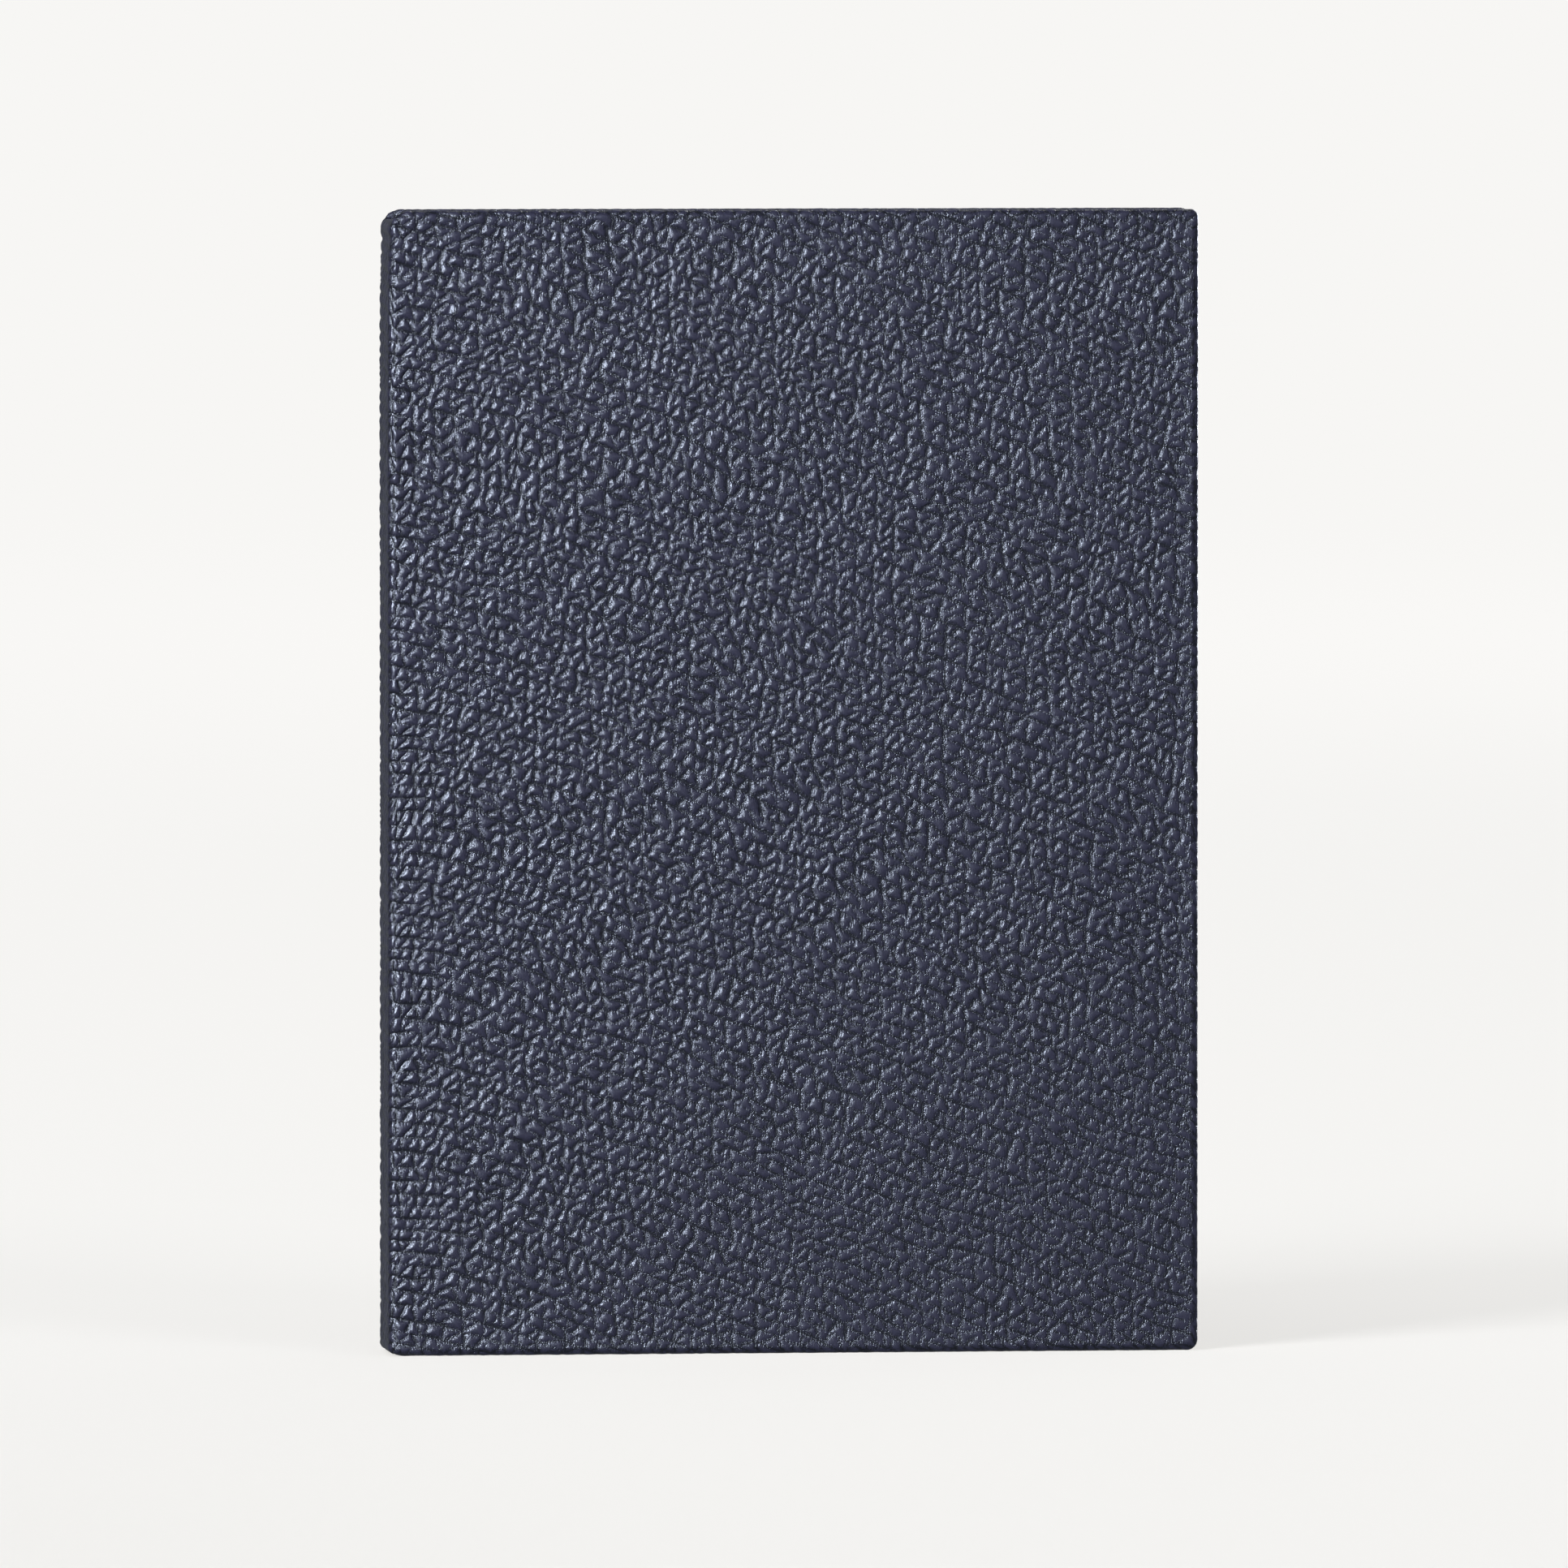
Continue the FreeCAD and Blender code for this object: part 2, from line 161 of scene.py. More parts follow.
def creases(x, y, rounded):
    """Nearness to the leather's creases: 1 on a crease, 0 far from any, and the strength of the nearest row.

    Long creases run in rows along x. In each row short creases stand across it, each with its own place,
    lean and strength, so that the pebbles are uneven triangles and diamonds. The same sums are made in the
    leather's material, which sharpens the creases between the points of the mesh."""
    rise = y / ROW_PITCH
    row = np.floor(rise)
    up = rise - row
    line = row + (up > 0.5)
    strength = ROW_STRENGTH + sum(size * np.sin(a * x + b * line) for size, a, b in ROW_WAVES)
    strength = np.clip(strength, ROW_LEAST, 1.0)

    def fall(away):
        return np.exp(-(np.sqrt(away * away + rounded * rounded) - rounded) / CREASE_REACH)

    near = strength * fall(np.minimum(up, 1 - up) * ROW_PITCH)
    turn = HASH_ROW * row
    place = x / CELL_PITCH + fraction(HASH_STRENGTH * np.sin(turn))
    middle = np.floor(place + 0.5)
    for step in (-1, 0, 1):
        cell = middle + step
        wave = np.sin(HASH_CELL * cell + turn)
        swing = CELL_SWING * (4 * fraction(cell / 2) - 1)
        lean = CELL_LEAN + swing + CELL_SPREAD * (fraction(HASH_LEAN * wave) - 0.5)
        centre = cell + CELL_JITTER * (fraction(HASH_PLACE * wave) - 0.5) + lean * (up - 0.5)
        firm = FIRM_LEAST + (1 - FIRM_LEAST) * fraction(HASH_STRENGTH * wave)
        near = np.maximum(near, firm * fall(np.abs(place - centre) * CELL_SQUEEZE * CELL_PITCH))
    return near, strength


def past_hinge(u):
    """How far a place on the skin is from its own hinge line: above 0 on a cover, below 0 on the spine."""
    return np.where(u > -WRAP / 2, u, -WRAP - u)


SPINE_PULL = 0.45


def flatness(u, v):
    """0 where the grain is full, beside the spine, to 1 where it is nearly flat, at the fore-edge's tail."""
    toward_edge = smooth(past_hinge(u), -5.0, 0.85 * REACH)
    toward_tail = smooth(-v, -95.0, -15.0)
    patches = 0.16 * noise(u, v, 24.0, 41)
    return np.clip(0.55 * toward_edge + 0.45 * toward_edge * toward_tail + 0.25 * toward_tail + patches, 0, 1)


def grain(u, v):
    """Depth of the leather below its pebbles' tops, in millimetres, and what its material needs to know.

    That is three numbers for each point: its place among the creases, x and y, and its row's strength."""
    bend_u, bend_v = (sum(far * noise(u, v, *kind) for far, *kind in bends) for bends in (BENDS_U, BENDS_V))
    x = u + bend_u
    beyond = np.maximum(past_hinge(u), 0)
    turned = ROW_TURN * (beyond - ROW_EASE * (1 - np.exp(-beyond / ROW_EASE)))
    y = v + ROW_SLOPE * u + np.where(u > -WRAP / 2, turned, -turned) + bend_v
    flat = flatness(u, v)
    near, strength = creases(x, y, CREASE_ROUND)
    top = (1 - near) * (0.90 + 0.16 * noise(u, v, 2.6, 31))
    deep = GRAIN_DEPTH * (1 - FLATTEN * flat)
    pulled = 1 - SPINE_PULL * (1 - smooth(past_hinge(u), -3.0, -0.5))
    return np.minimum(deep * pulled * (top - GRAIN_TOP), 0), np.stack([x, y, strength], -1)


# ---------------------------------------------------------------- mesh helpers


def quads_of(rows, cols, flip=False):
    r, c = np.meshgrid(np.arange(rows - 1), np.arange(cols - 1), indexing="ij")
    a = r * cols + c
    faces = np.stack([a, a + 1, a + cols + 1, a + cols], -1).reshape(-1, 4)
    return faces[:, ::-1] if flip else faces


def placed(name, data):
    obj = bpy.data.objects.new(name, data)
    bpy.context.scene.collection.objects.link(obj)
    return obj


def mesh_object(name, verts, faces, heights=None):
    """An object from points in millimetres and faces of four corners, with what the material needs there."""
    mesh = bpy.data.meshes.new(name)
    mesh.vertices.add(len(verts))
    mesh.vertices.foreach_set("co", (verts * MM).astype(np.float32).ravel())
    mesh.loops.add(faces.size)
    mesh.loops.foreach_set("vertex_index", faces.astype(np.int32).ravel())
    mesh.polygons.add(len(faces))
    mesh.polygons.foreach_set("loop_start", np.arange(0, faces.size, 4, dtype=np.int32))
    mesh.polygons.foreach_set("use_smooth", np.ones(len(faces), dtype=bool))
    mesh.update(calc_edges=True)
    mesh.validate()
    if heights is not None:
        attribute = mesh.attributes.new("relief", "FLOAT_VECTOR", "POINT")
        attribute.data.foreach_set("vector", heights.astype(np.float32).ravel())
    return placed(name, mesh)


def make_object(name, parts, merge=0.002):
    """One object from grids: each part is (points in mm, relief, flip) with points of shape rows x cols x 3.

    The relief is one number, or three for each point; the material reads it.
    Points closer than merge, in millimetres, become one."""
    verts, faces, heights, start = [], [], [], 0
    for points, height, flip in parts:
        rows, cols = points.shape[:2]
        verts.append(points.reshape(-1, 3))
        height = np.asarray(height, float)
        height = height if height.ndim == 3 else height[..., None]
        heights.append(np.broadcast_to(height, (rows, cols, 3)).reshape(-1, 3))
        faces.append(quads_of(rows, cols, flip) + start)
        start += rows * cols
    verts, faces = np.concatenate(verts), np.concatenate(faces)
    heights = np.concatenate(heights)
    keys = np.round(verts / merge).astype(np.int64)
    _, first, back = np.unique(keys, axis=0, return_index=True, return_inverse=True)
    verts, heights, faces = verts[first], heights[first], back.reshape(-1)[faces]
    ordered = np.sort(faces, axis=1)
    whole = (np.diff(ordered, axis=1) > 0).all(axis=1)
    return mesh_object(name, verts, faces[whole], heights)


def spaced(start, end, step):
    return np.linspace(start, end, max(2, int(round(abs(end - start) / step)) + 1))


# ---------------------------------------------------------------- the leather skin


def head_line(u):
    """Height of the skin's head edge: level over the boards, lower over the spine."""
    return HEIGHT - (HEIGHT - SPINE_TOP) * (1 - smooth(past_hinge(u), -3.4, 1.6))


def tail_line(u):
    return SPINE_FOOT * (1 - smooth(past_hinge(u), -3.0, 0.8))


def spine_path(u):
    """Place and outward direction in the XY plane of the skin's outer face, from the front hinge round."""
    u = np.asarray(u, float)
    mirrored = u < -WRAP / 2
    t = past_hinge(u)
    angle = np.clip((-t - HINGE_FLAT) / SPINE_ROUND, 0, math.pi / 2)
    x = np.where(t > -HINGE_FLAT, HINGE_X + t, HINGE_X - HINGE_FLAT - SPINE_ROUND * np.sin(angle))
    along = np.clip(-t - HINGE_FLAT - ARC, 0, None)
    y = -HALF + SPINE_ROUND * (1 - np.cos(angle)) + along
    nx, ny = -np.sin(angle), -np.cos(angle)
    side = np.where(mirrored, -1.0, 1.0)
    return x, y * side, nx, ny * side


CAP_SWELL, CAP_DOWN, CAP_REACH = 0.22, 1.7, 1.2
NECK_DEPTH, NECK_DOWN, NECK_REACH = 0.20, 3.8, 0.6
HEAD_DRAWN, DRAWN_REACH = 0.55, 8.0


def spine_shape(u, z):
    """Swell of the head cap, and the spine drawn in towards its head, along the outward direction."""
    on_spine = 1 - smooth(past_hinge(u), -3.2, -1.0)
    down = head_line(u) - z
    cap = CAP_SWELL * np.exp(-(((down - CAP_DOWN) / CAP_REACH) ** 2))
    neck = NECK_DEPTH * np.exp(-(((down - NECK_DOWN) / NECK_REACH) ** 2))
    drawn = HEAD_DRAWN * np.exp(-np.clip(down, 0, None) / DRAWN_REACH)
    return on_spine * (cap - neck - drawn)


CORNER_STEPS = 5


def edge_profile():
    """Rows from the face's rim over the edge to the turn-in.

    Each row is (outward offset, depth, share of the face's normal, share of the outward direction,
    arc length, relief)."""
    rows = []
    for k in range(CORNER_STEPS + 1):
        turn = k / CORNER_STEPS * math.pi / 2
        rows.append(
            (EDGE_ROUND * math.sin(turn), EDGE_ROUND * (1 - math.cos(turn)),
             math.cos(turn), math.sin(turn), EDGE_ROUND * turn, 1 - 0.75 * k / CORNER_STEPS)
        )
    wall = COVER_DEPTH - INNER_ROUND
    arc = rows[-1][4]
    for depth in spaced(EDGE_ROUND, wall, STEP)[1:]:
        rows.append((EDGE_ROUND, depth, 0.0, 1.0, arc + depth - EDGE_ROUND, 0.25))
    arc = rows[-1][4]
    for k in (1, 2, 3):
        turn = k / 3 * math.pi / 2
        rows.append(
            (EDGE_ROUND - INNER_ROUND * (1 - math.cos(turn)), wall + INNER_ROUND * math.sin(turn),
             -math.sin(turn), math.cos(turn), arc + INNER_ROUND * turn, 0.3)
        )
    arc = rows[-1][4]
    rim = EDGE_ROUND - INNER_ROUND
    for inward in spaced(0, TURNIN, TURNIN_STEP)[1:]:
        rows.append((rim - inward, COVER_DEPTH, -1.0, 0.0, arc + inward, 0.45))
    rows.append((rim - TURNIN - 0.1, COVER_DEPTH - 0.4, -0.7, -0.7, arc + TURNIN + 0.4, 0.2))
    return rows


CALM_EDGE = (-0.5, 2.5)
CALM_LEAST = 0.45


def calm_near(distance):
    """The grain is pressed flatter towards the edges of the boards."""
    return CALM_LEAST + (1 - CALM_LEAST) * smooth(distance, *CALM_EDGE)


def columns_of(u, z_count, profile):
    """Rows of skin over columns u: up the face if z_count is given, and over the edge by the profile's rows.

    Returns (face, tail rows, head rows), each as (points, heights), from the face outwards."""
    x, y, nx, ny = spine_path(u)
    low = tail_line(u) + EDGE_ROUND
    high = head_line(u) - EDGE_ROUND

    def place(z, out, depth, lift):
        shape = spine_shape(u, z) * (1 - np.clip(depth, 0, 1.0) * 0.3)
        push = out + shape - depth
        return np.stack([x + nx * push, y + ny * push, z + lift], -1)

    face = None
    if z_count:
        t = np.linspace(0, 1, z_count)[:, None]
        z = low + (high - low) * t
        relief, height = grain(np.broadcast_to(u, z.shape), z)
        near = np.minimum(z - low, high - z)
        face = (place(z, relief * calm_near(near), 0.0, 0.0), height)
    ends = []
    for edge, sign in ((low, -1.0), (high, 1.0)):
        points, heights = [], []
        for offset, depth, face_share, out_share, arc, amount in profile:
            relief, height = grain(u, edge + sign * arc)
            amount = amount if arc else float(calm_near(0.0))
            relief = relief * amount
            points.append(place(edge + sign * offset, face_share * relief, depth, sign * out_share * relief))
            heights.append(height)
        ends.append((np.stack(points), np.stack(heights)))
    return face, ends[0], ends[1]


def rim_of(grid):
    """A cover grid's rim: its tail from the hinge, its fore-edge, and its head back to the hinge."""
    return np.concatenate([grid[:, 0], grid[-1, 1:], grid[-2::-1, -1]])


def cover_skin(name, side):
    """Outer face, three edges and turn-ins of one cover's leather; side is -1 for the front."""
    profile = edge_profile()
    along = spaced(STRIP, REACH - EDGE_ROUND, STEP)
    up = spaced(EDGE_ROUND, HEIGHT - EDGE_ROUND, STEP)
    a, z = np.meshgrid(along, up, indexing="ij")

    def round_corner(a, z, radius, at_head):
        """Move the grid's square corner onto a quarter disc."""
        p = 1 - (along[-1] - a) / radius
        q = 1 - ((up[-1] - z) if at_head else (z - up[0])) / radius
        inside = (p > 0) & (q > 0)
        p, q = np.clip(p, 0, 1), np.clip(q, 0, 1)
        new_a = along[-1] - radius * (1 - p * np.sqrt(1 - q * q / 2))
        rise = radius * (1 - q * np.sqrt(1 - p * p / 2))
        new_z = up[-1] - rise if at_head else up[0] + rise
        return np.where(inside, new_a, a), np.where(inside, new_z, z)

    a, z = round_corner(a, z, HEAD_CORNER, True)
    a, z = round_corner(a, z, TAIL_CORNER, False)

    rim_a, rim_z = rim_of(a), rim_of(z)
    head_centre = (along[-1] - HEAD_CORNER, up[-1] - HEAD_CORNER)
    tail_centre = (along[-1] - TAIL_CORNER, up[0] + TAIL_CORNER)
    out_a, out_z = np.zeros_like(rim_a), np.zeros_like(rim_z)
    past_a, past_z = np.zeros_like(rim_a), np.zeros_like(rim_z)
    for i, (ra, rz) in enumerate(zip(rim_a, rim_z)):
        at_tail = rz < tail_centre[1]
        at_head = rz > head_centre[1]
        centre = tail_centre if at_tail else head_centre
        if (at_tail or at_head) and ra > centre[0]:
            direction = np.array([ra - centre[0], rz - centre[1]])
            direction /= np.linalg.norm(direction)
            past = (1.0, -1.0 if at_tail else 1.0)
        elif at_tail or at_head:
            direction = np.array([0.0, -1.0 if at_tail else 1.0])
            past = (max(0.0, (ra - along[0]) / (centre[0] - along[0])), direction[1])
        else:
            direction = np.array([1.0, 0.0])
            past = (1.0, 2 * (rz - tail_centre[1]) / (head_centre[1] - tail_centre[1]) - 1)
        out_a[i], out_z[i] = direction
        past_a[i], past_z[i] = past

    def place(a, z, depth):
        return np.stack([HINGE_X + a, side * (HALF - depth), z], -1)

    def unfolded(a, z):
        return (a if side < 0 else -WRAP - a), z

    relief, height_face = grain(*unfolded(a, z))
    near_rim = np.minimum(np.minimum(up[-1] - z, z - up[0]), along[-1] - a)
    face = place(a, z, -relief * calm_near(near_rim))

    rows, heights = [], []
    for offset, depth, face_share, out_share, arc, amount in profile:
        ra, rz = rim_a + past_a * offset, rim_z + past_z * offset
        inner = depth > COVER_DEPTH - INNER_ROUND + 0.01
        u, v = unfolded(rim_a + out_a * arc, rim_z + out_z * arc)
        relief, height = grain(u, v)
        mitre = 0.0
        if inner:
            corner = np.where(rz > HEIGHT / 2, HEIGHT - rz, rz) - (REACH - ra)
            mitre = 0.10 * np.exp(-((corner / 0.45) ** 2)) * smooth(arc, 6.0, 9.0)
        amount = amount if arc else float(calm_near(0.0))
        relief = relief * amount - mitre
        da, dz = out_a * out_share * relief, out_z * out_share * relief
        rows.append(place(ra + da, rz + dz, depth - face_share * relief))
        heights.append(height)
    flange = np.stack(rows)
    shade = np.stack(heights)
    flange[0], shade[0] = rim_of(face), rim_of(height_face)
    front = side < 0

    # the edge and turn-in between the hinge and the face's first column
    beside = spaced(FLANGE_START, STRIP, STEP)
    u = beside if front else -WRAP - beside[::-1]
    _, tail, head = columns_of(u, 0, profile[CORNER_STEPS:])
    parts = [(face, height_face, not front), (flange, shade, not front), (*tail, True), (*head, False)]
    return make_object(name, parts + board_end(side, unfolded))


def board_end(side, unfolded):
    """The leather turned in over the board's end at the joint, at its tail and its head."""
    deep = np.linspace(HALF - COVER_DEPTH + 0.05, HALF - EDGE_ROUND, 6)
    parts = []
    for start, sign in ((tail_line(FLANGE_START) + 0.45, 1.0), (head_line(FLANGE_START) - 0.45, -1.0)):
        y, z = np.meshgrid(deep, start + sign * np.linspace(0, TURNIN, 16), indexing="ij")
        points = np.stack([np.full_like(y, HINGE_X + FLANGE_START - CLEAR), side * y, z], -1)
        parts.append((points, grain(*unfolded(y, z))[1], side * sign < 0))
    return parts


def skin_over(u):
    """Skin over columns u, on the face and round both edges: its parts, and each edge with its direction."""
    count = len(spaced(EDGE_ROUND, HEIGHT - EDGE_ROUND, STEP))
    face, tail, head = columns_of(u, count, edge_profile()[:CORNER_STEPS + 1])
    return [(*face, False), (*tail, True), (*head, False)], ((tail, -1.0), (head, 1.0))


STRIP_WALL = 1.9


def hinge_strip(name, front):
    """The skin at one hinge, over the face and round the head and tail edges."""
    u = spaced(-STRIP, STRIP, STEP)
    parts, ends = skin_over(u if front else -WRAP - u[::-1])
    for (points, heights), sign in ends:
        rim = points[-1]
        wall = np.stack([rim + np.array([0.0, 0.0, -sign * drop]) for drop in (0.0, 0.8, STRIP_WALL)])
        parts.append((wall, np.stack([heights[-1]] * 3), sign < 0))
    return make_object(name, parts)


CAP_ROWS = 5
CAP_CORNER = 0.45
CAP_DROP = 0.6
SPINE_TURNIN = 10.5
LINING_HALF = node_box("mull")[1][1]


def spine_skin(name):
    """The skin fixed on the spine, with its end caps folded over the stiffener and turned in."""
    u = spaced(-WRAP + STRIP, -STRIP, STEP)
    parts, ends = skin_over(u)
    for (points, _), sign in ends:
        rim = points[-1]
        inside = smooth(LINING_HALF + 0.4 - np.abs(rim[:, 1]), 0.0, 0.4)
        end_x = HINGE_X + CLEAR + CAP_CORNER * inside
        rows, weave = [rim], [grain(u, rim[:, 2])[1]]
        for t in np.linspace(0, 1, CAP_ROWS)[1:]:
            x = rim[:, 0] + (end_x - CAP_CORNER - rim[:, 0]) * t
            relief, place = grain(u, rim[:, 2] + sign * t * 3.0)
            weave.append(place)
            rows.append(np.stack([x, rim[:, 1], rim[:, 2] + sign * 0.35 * relief], -1))
        top = rows[-1][:, 2]
        for k in (1, 2, 3):
            turn = k / 3 * math.pi / 2
            x = end_x - CAP_CORNER * (1 - math.sin(turn))
            rows.append(np.stack([x, rim[:, 1], top - sign * CAP_CORNER * (1 - math.cos(turn))], -1))
            weave.append(grain(u, rim[:, 2] + sign * (3.0 + CAP_CORNER * turn))[1])
        last = rows[-1]
        drop = CAP_DROP + (SPINE_TURNIN - CAP_DROP) * inside
        for t in np.linspace(0, 1, 6)[1:]:
            rows.append(np.stack([last[:, 0], last[:, 1], last[:, 2] - sign * drop * t], -1))
            weave.append(grain(u, rim[:, 2] + sign * (3.7 + drop * t))[1])
        parts.append((np.stack(rows), np.stack(weave), sign < 0))
    return make_object(name, parts)


# ---------------------------------------------------------------- paper


def ribbon(path, thickness, z_rows):
    """A sheet that follows a path in the XY plane: points and faces of its closed skin.

    path is its middle line, and z_rows gives the heights of its rows of points."""
    path = np.array(path, float)
    step = np.diff(path, axis=0)
    step /= np.linalg.norm(step, axis=1)[:, None]
    along = np.concatenate([step[:1], step[:-1] + step[1:], step[-1:]])
    along /= np.linalg.norm(along, axis=1)[:, None]
    normal = np.stack([-along[:, 1], along[:, 0]], -1) * thickness / 2
    loop = np.concatenate([path + normal, (path - normal)[::-1]])
    count, half = len(loop), len(path)
    rows = len(z_rows)
    verts = np.concatenate([np.column_stack([loop, np.full(count, z)]) for z in z_rows])
    r, c = np.meshgrid(np.arange(rows - 1), np.arange(count), indexing="ij")
    after = (c + 1) % count
    walls = np.stack([r * count + c, (r + 1) * count + c, (r + 1) * count + after, r * count + after], -1)
    i = np.arange(half - 1)
    cap = np.stack([i, i + 1, count - 2 - i, count - 1 - i], -1)
    top = cap[:, ::-1] + (rows - 1) * count
    return verts, np.concatenate([walls.reshape(-1, 4), cap, top])


def paper_object(name, ribbons):
    verts, faces, start = [], [], 0
    for points, quads in ribbons:
        verts.append(points)
        faces.append(quads + start)
        start += len(points)
    obj = mesh_object(name, np.concatenate(verts), np.concatenate(faces))
    obj.data.set_sharp_from_angle(angle=math.radians(45))
    return obj


def arc_points(centre, radius, start, end, steps):
    turns = np.radians(np.linspace(start, end, steps + 1))
    return [(centre[0] + radius * math.cos(t), centre[1] + radius * math.sin(t)) for t in turns]


LEAVES = 12
LEAF = 0.088
FOLD_STEPS = 8
UNEVEN_CUT, UNEVEN_TRIM = 0.12, 0.09


def folded_section(number):
    """One sewn section: sheets folded once and nested in each other, cut a little unevenly."""
    low, high = node_box(f"section_{number}")
    sheets = LEAVES // 2
    middle = (low[1] + high[1]) / 2
    half = (high[1] - low[1]) / 2
    pitch = half / sheets
    centre_x = low[0] + half
    chance = np.random.default_rng(700 + number)
    made = []
    for k in range(sheets):
        radius = half - pitch * (k + 0.5)
        cut = chance.uniform(0.0, UNEVEN_CUT, 2)
        tail, head = chance.uniform(0.0, UNEVEN_TRIM, 2)
        straight = np.linspace(high[0] - CLEAR, centre_x + 2.0, 5)
        path = [(x - cut[0] * (n == 0), middle - radius) for n, x in enumerate(straight)]
        path += arc_points((centre_x, middle), radius, 270, 90, FOLD_STEPS)
        path += [(x - cut[1] * (n == 4), middle + radius) for n, x in enumerate(straight[::-1])]
        made.append(ribbon(path, LEAF, np.linspace(low[2] + tail, high[2] - head, 6)))
    piece = paper_object(f"pages_{number}", made)
    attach(piece, f"section_{number}")
    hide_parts(f"section_{number}")
    return piece


FLYLEAF = 0.15


def flyleaf(word, side):
    """A free endpaper that lies a little unevenly, with its pasted edge turned round at the fold."""
    low, high = node_box(f"{word}_flyleaf")
    middle = (low[1] + high[1]) / 2
    xs = np.linspace(high[0] - CLEAR, low[0] + 0.6, 60)
    path = [(x, middle) for x in xs]
    path += [(low[0] + 0.25, middle - side * 0.01), (low[0] + 0.06, middle - side * 0.03)]
    verts, faces = ribbon(path, FLYLEAF, np.linspace(low[2], high[2], 60))
    fade = smooth(verts[:, 0], low[0], low[0] + 20.0)
    verts[:, 1] += 0.045 * fade * noise(verts[:, 0], verts[:, 2], 38.0, 301 + int(side > 0))
    piece = paper_object(f"{word}_free_endpaper", [(verts, faces)])
    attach(piece, f"{word}_flyleaf")
    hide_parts(f"{word}_flyleaf")
    return piece


PAPER = 0.035
GUTTER_DEEP = 8.36
SHOULDER, SHOULDER_ROUND = 6.0, 0.45


def gutter_paper(word, side):
    """Endpaper over the spine's inner edge, from the joint to the shoulder of the folds."""
    x = HINGE_X + CLEAR
    path = [(x, side * (GUTTER_DEEP - CLEAR)), (x, side * 7.2)]
    path += arc_points((x + SHOULDER_ROUND, side * SHOULDER), SHOULDER_ROUND, 180, 180 - side * 90, 6)
    end = flyleaf_low[0]
    path += [(x + 0.9, side * 5.52), (end - 0.30, side * 5.36), (end - 0.05, side * 5.33)]
    z_rows = np.linspace(flyleaf_low[2], flyleaf_high[2], 12)
    piece = paper_object(f"{word}_gutter_paper", [ribbon(path, PAPER, z_rows)])
    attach(piece, "spine")
    return piece


def joint_paper(word, side):
    """Endpaper that crosses the joint: up the spine's edge, round the hinge and over the board's edge."""
    spine_x, board_x = HINGE_X + CLEAR, board_low[0] - CLEAR
    centre = ((spine_x + board_x) / 2, side * GUTTER_DEEP)
    radius = (board_x - spine_x) / 2
    path = [(spine_x, side * 7.9), (spine_x, side * 8.2)]
    path += arc_points(centre, radius, 180, 180 - side * 180, 14)
    path += [(board_x, side * y) for y in (8.0, 7.2, 6.4, 5.9)]
    path += [(board_x + 0.01, side * 5.66), (board_x + 0.08, side * 5.59), (board_x + 1.2, side * 5.58)]
    z_rows = np.linspace(pastedown_low[2], pastedown_high[2], 12)
    piece = paper_object(f"{word}_joint_paper", [ribbon(path, PAPER, z_rows)])
    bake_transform(piece)
    return piece


# ---------------------------------------------------------------- worked bands at the ends of the folds

BAND_THREAD = 0.34
BAND_STRIPE = 3
BAND_RADIUS = 0.8
TONGUE = 0.16
TONGUE_ACROSS, TONGUE_UP = 41, 30


def worked_band(node):
    """A roll wound with alternating stripes of thread, on a thin tongue glued behind the folds."""
    low, high = node_box(node)
    at_head = low[2] > HEIGHT / 2
    centre_x = high[0] - BAND_RADIUS
    centre_z = high[2] - BAND_RADIUS if at_head else low[2] + BAND_RADIUS
    half = high[1]
    count = int(2 * half / BAND_THREAD) * 8
    y = np.linspace(-half, half, count + 1)
    turns = np.linspace(0, 2 * math.pi, 33)
    grid_y, turn = np.meshgrid(y, turns, indexing="ij")
    phase = grid_y / BAND_THREAD + 0.35 * turn / math.pi
    ridge = np.abs(np.sin(math.pi * phase))
    closing = np.sqrt(np.clip(1 - (np.clip(np.abs(grid_y) - (half - 0.3), 0, 0.3) / 0.3) ** 2, 0, 1))
    size = (BAND_RADIUS - 0.10 + 0.09 * ridge) * np.maximum(closing, 0.02)
    points = np.stack([centre_x + size * np.cos(turn), grid_y, centre_z + size * np.sin(turn)], -1)
    stripe = ((np.floor(phase) // BAND_STRIPE) % 2).astype(float)
    parts = [(points, stripe, False)]

    face_x = low[0] + CLEAR
    back = np.linspace(-half + 0.1, half - 0.1, TONGUE_ACROSS)
    z_low, z_high = (low[2], centre_z) if at_head else (centre_z, high[2])
    z = np.linspace(z_low + 0.05, z_high, TONGUE_UP)
    grid_y, grid_z = np.meshgrid(back, z, indexing="ij")
    for x, flip in ((face_x, True), (face_x + TONGUE, False)):
        parts.append((np.stack([np.full_like(grid_y, x), grid_y, grid_z], -1), 0.0, flip))
    side = np.ones(TONGUE_UP - 1)
    rim_y = np.concatenate([back, back[-1] * side, back[-2::-1], back[0] * side])
    rim_z = np.concatenate([z[:1].repeat(TONGUE_ACROSS), z[1:], z[-1:].repeat(TONGUE_ACROSS - 1), z[-2::-1]])
    rim = np.stack([np.stack([np.full_like(rim_y, face_x + dx), rim_y, rim_z], -1) for dx in (0.0, TONGUE)])
    parts.append((rim, 0.0, False))
    piece = make_object(f"worked_{node}", parts)
    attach(piece, "spine")
    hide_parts(node)
    return piece


# ---------------------------------------------------------------- the pieces


def add_leather():
    front = cover_skin("leather_front", -1)
    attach(front, "front_cover")
    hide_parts("front_leather")
    back = cover_skin("leather_back", 1)
    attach(back, "back_cover")
    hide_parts("back_leather")
    spine = spine_skin("leather_spine")
    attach(spine, "spine")
    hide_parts("spine_leather")
    pieces = [front, back, spine]
    for word in ("front", "back"):
        strip = hinge_strip(f"leather_{word}_joint", word == "front")
        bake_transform(strip)
        pieces.append(strip)
    return pieces


